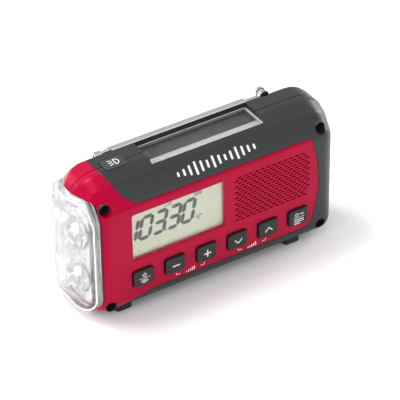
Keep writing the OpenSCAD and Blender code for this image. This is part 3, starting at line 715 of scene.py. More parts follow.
def metal(name, color, rough, stretch=(1, 40, 40), scale=300):
    """Drawn, plated or brushed metal with fine lines along one axis."""
    mat, tree, shader = base_material(name, roughness=rough, metallic=1.0)
    place = place_of(tree)
    mapping = texture(tree, "ShaderNodeMapping", place, Scale=stretch)
    lines = texture(tree, "ShaderNodeTexNoise", mapping.outputs["Vector"], Scale=scale, Detail=3.0)
    mottled(tree, shader, tone(color, 0.94), tone(color, 1.06), 90, place)
    roughness_drift(tree, shader, rough * 0.7, rough * 1.4, 260, place)
    relief(tree, shader, lines.outputs["Fac"], 0.35, 0.008)
    return mat


def clear(name, color, rough, alpha=1.0, haze=0.0, specular=0.5):
    """Clear moulded plastic with a slight flow ripple."""
    mat, tree, shader = base_material(name, roughness=rough, ior=1.45, transmission=1 - haze, alpha=alpha,
                                      specular=specular)
    place = place_of(tree)
    mottled(tree, shader, tone(color, 0.97), color, 40, place)
    ripple = texture(tree, "ShaderNodeTexNoise", place, Scale=70.0, Detail=2.0)
    relief(tree, shader, ripple.outputs["Fac"], 0.3, 0.01)
    return mat


def solar_material():
    """Dark blue-grey cells with fine transverse grid lines and crystal flakes."""
    mat, tree, shader = base_material("solar_silicon", roughness=0.4, specular=0.2)
    place = place_of(tree)
    flakes = texture(tree, "ShaderNodeTexVoronoi", place, Scale=420.0)
    wave = texture(tree, "ShaderNodeTexWave", place, wave_type="BANDS", bands_direction="X", Scale=260.0,
                   Distortion=0.4)
    ramp = node_of(tree, "ShaderNodeValToRGB")
    for stop, position, color in zip(ramp.color_ramp.elements, (0.35, 0.95),
                                     ((0.006, 0.006, 0.009, 1), (0.028, 0.028, 0.034, 1))):
        stop.position, stop.color = position, color
    tree.links.new(wave.outputs["Fac"], ramp.inputs["Fac"])
    mix = node_of(tree, "ShaderNodeMix", data_type="RGBA", blend_type="MULTIPLY")
    mix.inputs["Factor"].default_value = 0.35
    tree.links.new(ramp.outputs["Color"], mix.inputs["A"])
    tree.links.new(flakes.outputs["Color"], mix.inputs["B"])
    tree.links.new(mix.outputs["Result"], shader.inputs["Base Color"])
    relief(tree, shader, wave.outputs["Fac"], 0.25, 0.01)
    return mat


def cloth_material():
    """Woven dust cloth behind the grille."""
    mat, tree, shader = base_material("speaker_fabric", roughness=0.9, sheen=0.3)
    place = place_of(tree)
    mottled(tree, shader, (0.10, 0.004, 0.012), (0.20, 0.008, 0.03), 300, place)
    weave = texture(tree, "ShaderNodeTexChecker", place, Scale=3200.0)
    relief(tree, shader, weave.outputs["Fac"], 0.5, 0.03)
    return mat


def lcd_material():
    """Reflective liquid-crystal glass, pale green-grey and slightly cloudy."""
    mat, tree, shader = base_material("display_glass", roughness=0.3, coat=0.3, coat_roughness=0.05)
    place = place_of(tree)
    mottled(tree, shader, (0.57, 0.61, 0.45), (0.63, 0.67, 0.51), 35, place)
    dots = texture(tree, "ShaderNodeTexNoise", place, Scale=2500.0)
    relief(tree, shader, dots.outputs["Fac"], 0.2, 0.004)
    return mat


RED = (0.42, 0.001, 0.032)
CHARCOAL = (0.021, 0.0225, 0.0245)
BLACK = (0.010, 0.0105, 0.0115)
MATERIALS = {
    "red_shell": moulded("red_shell", RED, 0.3, grain=4200, depth=0.006, variety=0.05, specular=0.4,
                         tint=(1, 0.1, 0.2)),
    "charcoal_shell": moulded("charcoal_shell", CHARCOAL, 0.38, grain=2600, depth=0.02, specular=0.42),
    "button_rubber": moulded("button_rubber", BLACK, 0.5, depth=0.01),
    "black_rubber": moulded("black_rubber", BLACK, 0.62, grain=3500, depth=0.03),
    "screw_steel": metal("screw_steel", (0.16, 0.16, 0.17), 0.35),
    "clear_lens": clear("clear_lens", (0.93, 0.94, 0.95), 0.02, alpha=0.6, haze=0.07),
    "reflector_chrome": metal("reflector_chrome", (0.84, 0.85, 0.87), 0.05, stretch=(1, 1, 1), scale=60),
    "led_emitter": moulded("led_emitter", (0.93, 0.90, 0.62), 0.2, coat=0.6),
    "white_board": moulded("white_board", (0.82, 0.82, 0.80), 0.5),
    "display_glass": lcd_material(),
    "circuit_board": moulded("circuit_board", (0.012, 0.12, 0.045), 0.35, grain=900, depth=0.03, variety=0.3),
    "silicone_grey": moulded("silicone_grey", (0.22, 0.23, 0.24), 0.6),
    "speaker_fabric": cloth_material(),
    "speaker_steel": metal("speaker_steel", (0.42, 0.43, 0.45), 0.4),
    "speaker_paper": moulded("speaker_paper", (0.03, 0.03, 0.032), 0.85, grain=1500, depth=0.05),
    "magnet": metal("magnet", (0.5, 0.51, 0.53), 0.3),
    "solar_silicon": solar_material(),
    "silver_print": moulded("silver_print", (0.40, 0.41, 0.42), 0.45, grain=1200, depth=0.006, specular=0.3),
    "aerial_chrome": metal("aerial_chrome", (0.70, 0.71, 0.73), 0.1),
    "bush_steel": metal("bush_steel", (0.5, 0.51, 0.53), 0.35),
    "gear_nylon": moulded("gear_nylon", (0.78, 0.74, 0.64), 0.45),
    "pinion_brass": metal("pinion_brass", (0.78, 0.55, 0.2), 0.3),
    "cell_wrap": moulded("cell_wrap", (0.03, 0.14, 0.38), 0.25, coat=0.4),
    "black_plastic": moulded("black_plastic", (0.02, 0.02, 0.021), 0.5),
}
DISPLAY_CLEAR = clear("clear_window", (0.97, 0.98, 0.97), 0.05, alpha=0.14, specular=0.25)
SOLAR_CLEAR = clear("solar_cover", (0.97, 0.98, 0.97), 0.05, alpha=0.07, specular=0.2)
PRINT = moulded("white_print", (0.86, 0.86, 0.86), 0.5, grain=1800, depth=0.004, variety=0.03)
INK = moulded("segment_ink", (0.016, 0.022, 0.012), 0.4, grain=1800, depth=0.003)
TORCH_RUBBER = moulded("torch_rubber", (0.030, 0.031, 0.034), 0.5, depth=0.02)


def paint(obj, mat):
    """Gives every face of obj this material."""
    if not obj.material_slots:
        obj.data.materials.append(mat)
    for place in obj.material_slots:
        place.material = mat
    return obj


def piece(obj, name, body, mat, replaces=()):
    """Names, paints and fastens a new piece."""
    obj.name = name
    paint(obj, MATERIALS[mat] if isinstance(mat, str) else mat)
    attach(obj, body)
    if replaces:
        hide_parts(*replaces)
    return obj


for part in frame["record"]["subparts"]:
    paint(NODES[part["node"]], MATERIALS[part["material_slot"]])
paint(NODES["display_window"], DISPLAY_CLEAR)
paint(NODES["solar_window"], SOLAR_CLEAR)
BODY_OF = {n: b for b, names in frame["record"]["behaviour"]["bodies"].items() for n in names}
for shell_piece, slot in ((red_front, "red_shell"), (charcoal_front, "charcoal_shell"),
                          (red_rear, "red_shell"), (charcoal_rear, "charcoal_shell")):
    paint(shell_piece, MATERIALS[slot])


# ---------------------------------------------------------------- printed marks
def bar(a, b, width):
    """Outline of a round-ended stroke from a to b."""
    a, b = Vector(a), Vector(b)
    along = (b - a).normalized() if (b - a).length > 1e-6 else Vector((1, 0))
    start = math.atan2(along.y, along.x)
    out = []
    for centre, base in ((b, start - math.pi / 2), (a, start + math.pi / 2)):
        turns = [base + math.pi * i / 6 for i in range(7)]
        out += [centre + width / 2 * Vector((math.cos(a), math.sin(a))) for a in turns]
    return out


def dash(x0, x1, y, width):
    """Level stroke."""
    return bar((x0, y), (x1, y), width)


def upright(x, y0, y1, width):
    return bar((x, y0), (x, y1), width)


def arc(centre, r, a0, a1, width):
    """Outline of a curved stroke between two angles in degrees."""
    angles = [math.radians(a0 + (a1 - a0) * i / 20) for i in range(21)]
    outer = [Vector(centre) + (r + width / 2) * Vector((math.cos(a), math.sin(a))) for a in angles]
    inner = [Vector(centre) + (r - width / 2) * Vector((math.cos(a), math.sin(a))) for a in reversed(angles)]
    return outer + inner


INK_T = 0.05


def print_on(name, outlines, base, body, right=(1, 0, 0), up=(0, 0, 1), mat=PRINT, thick=INK_T):
    """Thin raised ink on a face: outlines in millimetres from base, along right and up."""
    base, right, up = Vector(base), Vector(right).normalized(), Vector(up).normalized()
    out = right.cross(up)
    marks = []
    for outline in outlines:
        m = len(outline)
        low = [base + right * p.x + up * p.y - out * 0.02 for p in outline]
        high = [base + right * p.x + up * p.y + out * thick for p in outline]
        sides = [(i, (i + 1) % m, m + (i + 1) % m, m + i) for i in range(m)]
        faces = [tuple(range(m)), tuple(range(m, 2 * m))] + sides
        marks.append(fix_normals(mesh_object("mark", low + high, faces)))
    return piece(join(name, marks), name, body, mat)


MINUS = [dash(-2, 2, 0, 0.75)]
ICONS = {
    "band_button": [arc((0, 2.1), 1.1, 130, 410, 0.35), upright(0, 2.3, 3.5, 0.35),
                    dash(-3.4, 3.4, 0.1, 0.28), arc((0, -3.4), 0.7, 20, 160, 0.4),
                    arc((0, -3.4), 1.6, 25, 155, 0.4), arc((0, -3.4), 2.5, 30, 150, 0.4)],
    "volume_down_button": MINUS,
    "volume_up_button": MINUS + [upright(0, 0.5, 2, 0.75), upright(0, -0.5, -2, 0.75)],
    "tune_down_button": [bar((-2.2, 1.1), (-0.1, -1.2), 0.6), bar((0.1, -1.2), (2.2, 1.1), 0.6)],
    "tune_up_button": [bar((-2.2, -1.1), (-0.1, 1.2), 0.6), bar((0.1, 1.2), (2.2, -1.1), 0.6)],
    "menu_button": [arc((-1.6, 2.2), 0.9, 0, 359, 0.35), dash(0.5, 3, 2.2, 0.45), dash(-3.4, 3.4, 0.3, 0.28),
                    dash(-3, 3, -1.2, 0.5), dash(-3, 3, -2.5, 0.5), dash(-3, 0.6, -3.8, 0.5)],
}


# ---- Front buttons ----
CROWN = 0.22
for node in FRONT_BUTTONS:
    low, high = span(node)
    cx, _, cz = centre_of(node)
    w, h = high.x - low.x - 2.2, high.z - low.z - 2.2
    cap = pillow("cap", lambda g: rect(cx, cz, w - 2 * g, h - 2 * g, max(2 - g, 0.5)), "y", -HALF_D + 2.7,
                 low.y + CROWN, 0.7, both=False, crown=CROWN)
    flange = prism("flange", rect(cx, cz, w + 2.2, h + 2.2, 2.4), "y", -HALF_D + 2.6, -HALF_D + 3.6)
    cap = shade(boolean(cap, flange, "UNION"))
    piece(cap, node + "_cap", BODY_OF[node], "button_rubber", replaces=(node,))
    print_on(node + "_icon", ICONS[node], (cx, low.y + 0.03, cz), BODY_OF[node])

# ---- Torch button on the top ----
low, high = span("torch_button")
cx, cy, _ = centre_of("torch_button")
w, d = high.x - low.x - 2, high.y - low.y - 1.2
cap = pillow("cap", lambda g: rect(cx, cy, w - 2 * g, d - 2 * g, max(2 - g, 0.5)), "z", low.z + 0.5,
             high.z - 0.12, 0.6, both=False, crown=0.12)
cap = shade(boolean(cap, prism("flange", rect(cx, cy, w + 2, d + 1.2, 2.4), "z", low.z, low.z + 1), "UNION"))
piece(cap, "torch_button_cap", BODY_OF["torch_button"], TORCH_RUBBER, ("torch_button",))
lamp = [arc((0.6, 0), 2.3, -90, 90, 0.5), upright(0.5, -2.2, 2.2, 0.5), dash(-0.9, -3.0, 0, 0.5),
        bar((-0.9, 1.4), (-2.9, 2.1), 0.5), bar((-0.9, -1.4), (-2.9, -2.1), 0.5)]
print_on("torch_button_icon", lamp, (cx, cy, high.z - 0.02), BODY_OF["torch_button"],
         up=(0, 1, 0))

# ---- Brackets under the two button pairs, and a neutral row of level bars on the top band ----
def bracket(x, z_top, drop_by, reach):
    return [upright(x, z_top, z_top - drop_by, 0.32), dash(x, x + reach, z_top - drop_by, 0.32)]


button_low = span("volume_down_button")[0].z
for name, nodes in (("volume", FRONT_BUTTONS[1:3]), ("tuning", FRONT_BUTTONS[3:5])):
    xa, xb = centre_of(nodes[0])[0] + 1, centre_of(nodes[1])[0] - 1
    marks = bracket(xa, button_low - 0.5, 1.4, 2.4) + bracket(xb, button_low - 0.5, 1.4, -2.4)
    for i in range(5):
        foot = button_low - 2.7
        marks.append(upright((xa + xb) / 2 + (i - 2) * 1.25, foot, foot + (0.5 + 0.42 * i), 0.55))
    print_on(name + "_marks", marks, (0, -HALF_D, 0), "housing")

SLOPE = (0, 9.0, 10.1)
LEVELS = (0.22, 0.4, 0.68, 1.0, 0.74, 0.5, 0.86, 0.6, 0.34, 0.56, 0.9, 0.64, 0.42, 0.26)
bars = [upright(3.5 + (i - (len(LEVELS) - 1) / 2) * 3.7, 7.3 - 3.2 * level, 7.3 + 3.2 * level, 1.35)
        for i, level in enumerate(LEVELS)]
print_on("level_bars", bars, (0, -HALF_D, PANEL_TOP), "housing", up=SLOPE)

# ---- Display: glass, segments and small marks ----
low, high = span("display_module")
cx, _, cz = centre_of("display_module")
w, h = high.x - low.x, high.z - low.z
panel = pillow("lcd", lambda g: rect(cx, cz, w - 2 * g, h - 2 * g, 1), "y", high.y, low.y, 0.2)
piece(panel, "lcd_panel", "housing", "display_glass", replaces=("display_module",))
SEGMENTS = {"0": "abcdef", "1": "bc", "3": "abcdg"}
DIGIT_W, DIGIT_H, STROKE, SLANT = 6.4, 13.4, 2.3, 0.2
GAP = 0.12


def segment(kind, x, z):
    """Six-sided segment of a display digit whose lower left corner is at (x, z)."""
    w, h, t = DIGIT_W, DIGIT_H / 2, STROKE / 2
    if kind in "agd":
        y = {"a": 2 * h, "g": h, "d": 0}[kind]
        flat = [(GAP, y), (t + GAP, y + t), (w - t - GAP, y + t), (w - GAP, y), (w - t - GAP, y - t),
                (t + GAP, y - t)]
    else:
        u = w if kind in "bc" else 0
        y = h if kind in "bf" else 0
        top = y + h - GAP
        flat = [(u, y + GAP), (u + t, y + t + GAP), (u + t, top - t), (u, top), (u - t, top - t),
                (u - t, y + t + GAP)]
    return [Vector((x + p[0] + SLANT * p[1], z + p[1])) for p in flat]


window_low, window_high = span("display_window")
digits_z = window_low.z + 0.36 * (window_high.z - window_low.z)
first_x = window_low.x - 4.0
PITCH = 8.9
marks = []
for i, digit in enumerate("10330"):
    marks += [segment(kind, first_x + i * PITCH, digits_z) for kind in SEGMENTS[digit]]
point_x = first_x + 2 * PITCH + DIGIT_W + 1.1
marks.append(dash(point_x, point_x + 0.2, digits_z, 1.2))
top_z = window_high.z - 2.7
for i in range(1, 5):
    marks.append(upright(window_low.x + 20 + i * 1.3, top_z - 0.9, top_z - 0.9 + 0.5 * i, 0.6))
x0 = window_low.x + 40
x1 = x0 + 4.6
marks += [dash(x0, x1, top_z - 1, 0.3), dash(x0, x1, top_z + 1, 0.3), upright(x0, top_z - 1, top_z + 1, 0.3),
          upright(x1, top_z - 1, top_z + 1, 0.3)]
marks += [upright(x0 + 1 + i * 1.3, top_z - 0.4, top_z + 0.4, 0.7) for i in range(3)]
wave_x, wave_z = window_low.x + 42.5, digits_z - 1.2
marks += [arc((wave_x, wave_z), r, 40, 140, 0.4) for r in (1.2, 2.2, 3.2)]
marks.append(upright(wave_x, wave_z, wave_z + 0.1, 0.7))
print_on("lcd_segments", marks, (0, low.y, 0), "housing", mat=INK)

# ---- Torch: lens, rim, reflector bowls and emitters ----
outer, inner = form("outer", -LENS_PROUD), form("inner", 1.2, 16, 4)
inner.data.flip_normals()
lens = join("lens_raw", [outer, inner])
boolean(lens, prism("keep", lens_outline(0), "x", -300, LENS_BACK), "INTERSECT")
wall_out = prism("wall", lens_outline(0), "x", TORCH_X - 5, LENS_BACK)
boolean(wall_out, prism("hole", lens_outline(-1.5), "x", -300, LENS_BACK + 5))
boolean(wall_out, form("limit", 0.2), "INTERSECT")
boolean(lens, wall_out, "UNION")
shade(lens, 28)
piece(lens, "torch_lens_cover", "housing", "clear_lens", replaces=("torch_lens",))


def rim(name, outline, e, radius, mat, lift=0.0):
    """A bead that follows an outline, drawn as seen along X, over the form inset by e."""
    skin = Skin(form("skin", e))
    path, ups = [], []
    for p in spread(outline + [outline[0]], 1.0)[:-1]:
        place, up = skin.hit((-200, p.x, p.y), (1, 0, 0))
        path.append(place + up * lift)
        ups.append(up)
    bead = shade(tube(name, path, ups, radius, closed=True, sides=12), 60)
    return piece(bead, name, "housing", mat)


# The bead's shape follows the lens rim; its opaque near-white glossy colour is a painted highlight, the
# bright line along the clear rim
RIM_HIGHLIGHT = moulded("lens_rim_painted_highlight", (0.93, 0.94, 0.95), 0.12, grain=1500, depth=0.002, variety=0.02, coat=0.8)
rim("lens_rim_highlight_bead", lens_outline(-0.5), -LENS_PROUD, 0.5, RIM_HIGHLIGHT)
FROST = clear("lens_frost", (0.97, 0.98, 0.99), 0.35)
rim("lens_inner_bead", lens_outline(-7.2), -LENS_PROUD, 0.32, FROST, lift=-0.1)

leds_low, leds_high = span("torch_leds")
BOWL_Z = (leds_high.z - 2.4, leds_low.z + 2.4)
BOWL_R, BOWL_FRONT = 13.5, span("torch_reflector")[0].x
BOWL_BACK = BOWL_FRONT + 9.6
PETALS = 14


def bowl(z):
    """A faceted bowl: rings of petals that deepen to the emitter's hole."""
    steps, around = 12, PETALS * 8
    inside = [(BOWL_FRONT + (BOWL_BACK - BOWL_FRONT) * i / steps,
               4 + (BOWL_R - 4) * math.sqrt(1 - (i / steps) ** 1.2)) for i in range(steps + 1)]
    profile = inside + [(x + 0.1, r + 0.8) for x, r in reversed(inside)]
    half = math.pi / PETALS
    verts = []
    for a in full_turn(around):
        for i, (x, r) in enumerate(profile):
            ring = min(i, len(profile) - 1 - i)
            turn = half * (ring // 4 % 2)
            flat = math.cos(half) / math.cos((a + turn) % (2 * half) - half)
            verts.append((x, r * flat * math.cos(a), z + r * flat * math.sin(a)))
    return fix_normals(mesh_object("bowl", verts, ring_faces(around, len(profile))))


plate = prism("plate", lens_outline(-2.4), "x", BOWL_FRONT + 0.8, BOWL_FRONT + 2.4)
boolean(plate, form("limit", WALL + 0.2, 16, 4), "INTERSECT")
for z in BOWL_Z:
    boolean(plate, turned("hole", [(-100, BOWL_R + 0.2), (0, BOWL_R + 0.2)], (0, z), "x", 96))
    lip = [(BOWL_FRONT, BOWL_R - 0.1), (BOWL_FRONT - 0.5, BOWL_R + 0.4), (BOWL_FRONT - 0.5, BOWL_R + 0.9),
           (BOWL_FRONT + 1, BOWL_R + 1.3), (BOWL_FRONT + 1.4, BOWL_R + 0.3)]
    piece(shade(ring_of("lip", lip, (0, z), "x", 96)), "reflector_lip", "housing", "reflector_chrome")
piece(soften(plate, 0.3), "reflector_plate", "housing", "reflector_chrome", replaces=("torch_reflector",))
for z in BOWL_Z:
    piece(shade(bowl(z), 20), "reflector_bowl", "housing", "reflector_chrome")
    base = BOWL_BACK + 0.3
    dome = [(base, 2.4)] + [(base - 3.4 - 2.4 * math.sin(t), 2.4 * math.cos(t)) for t in quarter_turn(10)]
    piece(shade(turned("dome", dome, (0, z), "x", 40)), "led_dome", "housing", "led_emitter")
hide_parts("torch_leds")

# ---- Solar panel: fine fingers and bus bars over the cells ----
cell_low, cell_high = span("solar_cell")
cell_w, cell_d = cell_high.x - cell_low.x, cell_high.y - cell_low.y
FINGERS = 58
fingers = []
for i in range(FINGERS):
    x = cell_low.x + 1.6 + (cell_w - 3.2) * i / (FINGERS - 1)
    fingers.append(upright(x, cell_low.y + 7.0, cell_high.y - 1.2, 0.34))
for share in (0.52, 0.8):
    fingers.append(dash(cell_low.x + 1.2, cell_high.x - 1.2, cell_low.y + cell_d * share, 0.22))
FINGER = moulded("finger_print", (0.105, 0.105, 0.115), 0.5, grain=900, depth=0.004, specular=0.2)
print_on("solar_fingers", fingers, (0, 0, cell_high.z), "housing", up=(0, 1, 0), mat=FINGER,
         thick=0.03)
strip = rect((cell_low.x + cell_high.x) / 2, cell_low.y + 3.3, cell_w - 1.6, 5.8, 0.3)
print_on("solar_strip", [strip], (0, 0, cell_high.z), "housing", up=(0, 1, 0),
         mat=MATERIALS["silver_print"], thick=0.04)

window_low, window_high = span("solar_window")
x0, x1, y0, y1 = window_low.x + 0.5, window_high.x - 0.5, window_low.y + 0.5, window_high.y - 0.5
edges = [dash(x0, x1, y0, 0.55), upright(x1, y0, y1, 0.55), dash(x1, x0, y1, 0.55), upright(x0, y1, y0, 0.55)]
print_on("solar_frame_line", edges, (0, 0, window_high.z), "housing", up=(0, 1, 0),
         thick=0.04)

# ---- Aerial: rolled lips at the ends of the sections, and the tip ----
tube_low, tube_high = span("antenna_tube_1")
aerial_y = (tube_low.y + tube_high.y) / 2
aerial_z = tube_low.z + (tube_high.y - tube_low.y) / 2
for node, r, body in (("antenna_tube_1", 2.25, "antenna_tube"), ("antenna_tube_2", 1.9, "antenna_section_2"),
                      ("antenna_tube_3", 1.55, "antenna_section_3")):
    x = span(node)[0].x
    roll = [(x - 0.12 + 0.4 - 0.4 * math.cos(t), r - 0.22 + 0.26 * math.sin(t)) for t in full_turn(12)]
    piece(shade(ring_of("lip", roll, (aerial_y, aerial_z), "x"), 80), node + "_lip", body, "aerial_chrome")
tip_x = span("antenna_rod")[0].x
knob = [(tip_x, 0.9), (tip_x + 0.15, 1.5), (tip_x + 0.5, 2.0), (tip_x + 1.2, 2.25), (tip_x + 2.6, 2.25),
        (tip_x + 3.2, 1.95), (tip_x + 3.5, 1.7), (tip_x + 3.9, 1.7), (tip_x + 4.0, 1.35)]
tip = shade(turned("tip", knob, (aerial_y, aerial_z), "x"))
piece(tip, "antenna_tip_knob", "antenna_tip", "aerial_chrome")

# ---- Black liners in the screw bores: painted shade, a dark sleeve that darkens the deep bores ----
SHADE_SLEEVE_R0, SHADE_SLEEVE_R1 = 3.12, 3.29
shade_sleeves = []
for spot, mouth in zip(SCREWS, (-19.2, -19.2, -21.6, -21.6)):
    foot = SCREW_FLOOR + 0.05
    profile = [(foot, SHADE_SLEEVE_R1), (mouth, SHADE_SLEEVE_R1), (mouth, SHADE_SLEEVE_R0), (foot, SHADE_SLEEVE_R0)]
    shade_sleeves.append(ring_of("shade_sleeve", profile, spot, "y"))
piece(shade(join("shade_sleeves", shade_sleeves)), "screw_bore_painted_shade", "housing", "black_plastic")

# ---- Feet ----
low, high = span("rubber_feet")
feet = []
for x in (low.x + 5, high.x - 5):
    for y in (low.y + 4.2, high.y - 4.2):
        feet.append(pillow("foot", lambda g: rect(x, y, 10 - 2 * g, 8.4 - 2 * g, max(2 - g, 0.6)), "z",
                           high.z, low.z, 0.7, both=False))
piece(shade(join("feet", feet)), "rubber_feet_soft", "housing", "black_rubber", replaces=("rubber_feet",))

# ---- Crank ----
disc_low, disc_high = span("crank_disc")
knob_low, knob_high = span("crank_knob")
CRANK_X = (disc_low.x + disc_high.x) / 2
DISC_R = (disc_high.x - disc_low.x) / 2
CRANK_Z = disc_low.z + DISC_R
KNOB_Z = (knob_low.z + knob_high.z) / 2
HINGE_Z = CRANK_Z + 22
SWING = 1.6
DISC_Y1 = HALF_D - 0.4
DISC_Y0 = DISC_Y1 - 7.2


def arm_outline(g, grow=0.0, sink=0.0):
    a, b = 6.2 + grow - g, 5.2 + grow - g
    top = HINGE_Z - 3 + grow - g
    bottom = KNOB_Z - a - sink
    corners = [(-a, bottom, a - 0.1), (a, bottom, a - 0.1), (a, KNOB_Z + 3, 3), (b, KNOB_Z + 8, 3),
               (b, top, 1), (-b, top, 1), (-b, KNOB_Z + 8, 3), (-a, KNOB_Z + 3, 3)]
    return rounded([(CRANK_X + x, z, r) for x, z, r in corners], 8)


def crank_disc():
    edge = [(DISC_Y0, DISC_R - 0.5), (DISC_Y0 + 0.5, DISC_R)]
    edge += [(DISC_Y1 - 0.9 + 0.9 * math.sin(t), DISC_R - 0.9 * (1 - math.cos(t))) for t in quarter_turn(6)]
    disc = turned("disc", edge, (CRANK_X, CRANK_Z), "y", 128)
    back = disc_low.y
    for z in (KNOB_Z, KNOB_Z - SWING):
        boolean(disc, turned("cup", [(back + 0.2, 8.6), (DISC_Y0 + 1, 8.6)], (CRANK_X, z), "y"), "UNION")
    boolean(disc, turned("hub", [(back, 6), (DISC_Y0 + 1, 6)], (CRANK_X, CRANK_Z), "y"), "UNION")
    trough = [(DISC_Y1 - 5.3, 0), (DISC_Y1 - 0.4, 0)]
    trough += [(y, -g) for y, g in flare(DISC_Y1 - 0.4, 0.4)] + [(DISC_Y1 + 6, -0.4)]
    boolean(disc, loft("trough", [(y, arm_outline(g, 0.6, SWING)) for y, g in trough], "y"))
    notch = box_outline(CRANK_X - 3.6, HINGE_Z - 4, CRANK_X + 3.6, HINGE_Z + 2.6)
    boolean(disc, prism("notch", notch, "y", DISC_Y1 - 5.2, DISC_Y1 + 6))
    for z in (KNOB_Z, KNOB_Z - SWING):
        boolean(disc, turned("well", [(back + 1.4, 7.2), (DISC_Y1 - 5, 7.2)], (CRANK_X, z), "y", 64))
    for s in (-1, 1):
        x = CRANK_X + s * 4.7
        ear = [Vector((DISC_Y1 - 2, HINGE_Z - 2)), Vector((HALF_D, HINGE_Z - 2))]
        ear += [Vector((HALF_D + 2 * math.cos(a), HINGE_Z + 2 * math.sin(a)))
                for a in [-math.pi / 2 + math.pi * i / 16 for i in range(1, 17)]]
        ear.append(Vector((DISC_Y1 - 2, HINGE_Z + 2)))
        boolean(disc, prism("ear", ear, "x", x - 1, x + 1), "UNION")
    for a in full_turn(24):
        a += math.pi / 24
        spot = Vector((CRANK_X + (DISC_R - 2.2) * math.cos(a), CRANK_Z + (DISC_R - 2.2) * math.sin(a)))
        boolean(disc, turned("dimple", [(DISC_Y1 - 0.35, 0.5), (DISC_Y1 + 1, 1.1)], spot, "y", 20))
    return shade(disc)


piece(crank_disc(), "crank_turntable", "crank", "charcoal_shell", replaces=("crank_disc",))
arm = pillow("arm", arm_outline, "y", DISC_Y1 - 4.8, DISC_Y1, 0.7)
tongue = box_outline(CRANK_X - 3.2, HINGE_Z - 3.6, CRANK_X + 3.2, HINGE_Z - 0.6)
boolean(arm, prism("tongue", tongue, "y", HALF_D - 3.4, DISC_Y1 - 0.1), "UNION")
barrel = [(CRANK_X + x, r) for x, r in ((-3.2, 1.9), (-3, 2), (3, 2), (3.2, 1.9))]
boolean(arm, turned("barrel", barrel, (HALF_D, HINGE_Z), "x", 40), "UNION")
for i in range(6):
    rib = dash(CRANK_X - 2.6, CRANK_X + 2.6, CRANK_Z - 5 + i * 2.2, 0.9)
    boolean(arm, prism("rib", rib, "y", DISC_Y1 - 0.45, DISC_Y1 + 1))
piece(shade(arm), "crank_handle_arm", "crank_handle", "charcoal_shell", replaces=("crank_arm",))
ribs = [(knob_low.y, 4.6), (knob_low.y + 0.5, 5.3), (knob_low.y + 1.2, 5.7)]
for i in range(4):
    y = knob_low.y + 1.8 + i * 1.5
    ribs += [(y, 5.6), (y + 0.3, 6.3), (y + 0.8, 6.3), (y + 1.1, 5.6)]
ribs += [(knob_high.y - 0.1, 5.5), (knob_high.y, 5.2)]
grip = turned("grip", ribs, (CRANK_X, KNOB_Z), "y", 72)
boolean(grip, turned("hole", [(0, 1.56), (60, 1.56)], (CRANK_X, KNOB_Z), "y", 32))
piece(shade(grip), "crank_knob_grip", "crank_grip", "black_rubber", replaces=("crank_knob",))

# ---- Battery door ----
low, high = span("battery_door")
cx, _, cz = centre_of("battery_door")
w, h = high.x - low.x, high.z - low.z
hinge_z = low.z + 1.1
door_z, door_h = (hinge_z + high.z) / 2, high.z - hinge_z
door = pillow("door", lambda g: rect(cx, door_z, w - 2 * g, door_h - 2 * g, max(1 - g, 0.3)), "y",
              high.y - 2.1, high.y, 0.35)
hinge = (high.y - 1.1, hinge_z)
boolean(door, turned("barrel", [(low.x, 1.1), (high.x, 1.1)], hinge, "x", 40), "UNION")
boolean(door, turned("pin", [(low.x - 3, 0.86), (high.x + 3, 0.86)], hinge, "x", 24))
for i in range(4):
    rib = dash(cx - 6, cx + 6, high.z - 2.8 - i * 1.6, 0.8)
    boolean(door, prism("rib", rib, "y", high.y - 0.5, high.y + 2))
groove = prism("frame", rect(cx, cz + 0.4, w - 5, h - 5, 1.2), "y", high.y - 0.25, high.y + 2)
boolean(groove, prism("hole", rect(cx, cz + 0.4, w - 6, h - 6, 0.9), "y", 0, 60))
boolean(door, groove)
piece(shade(door), "battery_door_panel", "battery_hatch", "charcoal_shell", replaces=("battery_door",))
cell_icon = [dash(-26, -20, -1.4, 0.35), dash(-26, -20, 1.4, 0.35), upright(-26, -1.4, 1.4, 0.35),
             upright(-20, -1.4, 1.4, 0.35), upright(-19.4, -0.5, 0.5, 0.6)]
EMBOSS = moulded("emboss_grey", (0.11, 0.112, 0.118), 0.5)
print_on("battery_door_icon", cell_icon, (cx, high.y, cz), "battery_hatch",
         right=(-1, 0, 0), mat=EMBOSS)

# ---- Port cover ----
low, high = span("port_cover")
cx, _, cz = centre_of("port_cover")
w, h = high.x - low.x, high.z - low.z
face = HALF_D + 0.4
flap = pillow("flap", lambda g: rect(cx, cz, w - 2 * g, h - 2 * g, max(2 - g, 0.5)), "y",
              low.y, face - 0.08, 0.5, both=False, crown=0.08)
tab = pillow("tab", lambda g: rect(cx, high.z - 1.6, 10 - 2 * g, 1.6 - 2 * g, max(0.75 - g, 0.2)), "y",
             face - 0.9, high.y, 0.35)
boolean(flap, tab, "UNION")
crease = dash(low.x + 4, high.x - 4, low.z + 2.2, 0.8)
boolean(flap, prism("crease", crease, "y", face - 0.5, face + 2))
piece(shade(flap), "port_cover_flap", "port_flap", "black_rubber", replaces=("port_cover",))
plug = [dash(-3, 3, 0, 0.4), bar((3, 0), (2.2, 0.7), 0.4), bar((3, 0), (2.2, -0.7), 0.4),
        arc((-3.6, 0), 0.7, 0, 359, 0.35)]
print_on("port_cover_icon", plug, (cx, face - 0.02, cz), "port_flap", right=(-1, 0, 0),
         mat=EMBOSS)

# ---------------------------------------------------------------- floor, light and camera
floor = pillow("floor", lambda g: rect(0, 0, 9000, 9000, 20, 3), "z", -6, -0.05, 0.02, both=False)
paint(floor, moulded("studio_white", (0.96, 0.96, 0.96), 0.6, grain=900, depth=0.002, variety=0.005))
floor.name = "studio_floor"

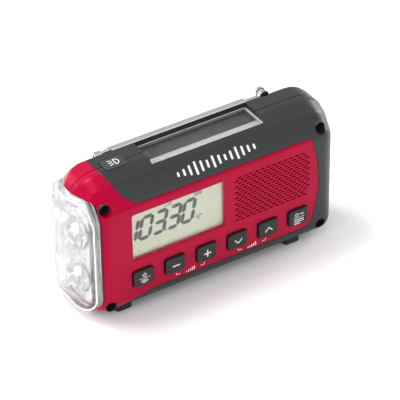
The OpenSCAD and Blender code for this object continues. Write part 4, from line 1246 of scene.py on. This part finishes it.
AZIMUTH, ELEVATION, ROLL = (math.radians(a) for a in (-31.67, 36.32, -0.80))
DISTANCE, SIDE, RAISE = 1323.89, 11.82, -39.47
FIT_ORIGIN = Vector((3.0, -22.8, 3.0))
flat = math.cos(ELEVATION)
back = Vector((math.sin(AZIMUTH) * flat, -math.cos(AZIMUTH) * flat, math.sin(ELEVATION)))
level = (-back).cross(Vector((0, 0, 1))).normalized()
upward = level.cross(-back)
right = math.cos(ROLL) * level + math.sin(ROLL) * upward
up = -math.sin(ROLL) * level + math.cos(ROLL) * upward
spot = FIT_ORIGIN - right * SIDE - up * RAISE + back * DISTANCE
camera = bpy.data.objects.new("camera", bpy.data.cameras.new("camera"))
bpy.context.scene.collection.objects.link(camera)
camera.matrix_world = Matrix.Translation(spot * MM) @ Matrix((right, up, back)).transposed().to_4x4()
camera.data.lens = 216
camera.data.sensor_width = 36
camera.data.clip_end = 50
bpy.context.scene.camera = camera


def softbox(name, place, width, height, power, aim=(0, 0, 0.045)):
    light = bpy.data.lights.new(name, "AREA")
    light.shape = "RECTANGLE"
    light.size, light.size_y, light.energy = width, height, power
    obj = bpy.data.objects.new(name, light)
    bpy.context.scene.collection.objects.link(obj)
    place, aim = Vector(place), Vector(aim)
    obj.matrix_world = Matrix.Translation(place) @ (aim - place).to_track_quat("-Z", "Y").to_matrix().to_4x4()


softbox("top_box", (-0.35, 0.42, 1.2), 0.6, 0.5, 11)
softbox("back_left_box", (-0.58, 1.08, 0.52), 0.34, 0.38, 3.4)
softbox("left_box", (-1.1, -0.15, 0.6), 0.4, 0.5, 3)
softbox("front_box", (0.35, -1.25, 0.7), 0.9, 0.6, 2.5)
softbox("right_box", (1.15, 0.16, 0.3), 0.45, 0.5, 8, aim=(0, 0, 0.06))
world = bpy.data.worlds.new("studio")
world.use_nodes = True
world.node_tree.nodes["Background"].inputs["Color"].default_value = (1, 1, 1, 1)
world.node_tree.nodes["Background"].inputs["Strength"].default_value = 0.66
bpy.context.scene.world = world
bpy.context.scene.view_settings.view_transform = "Standard"
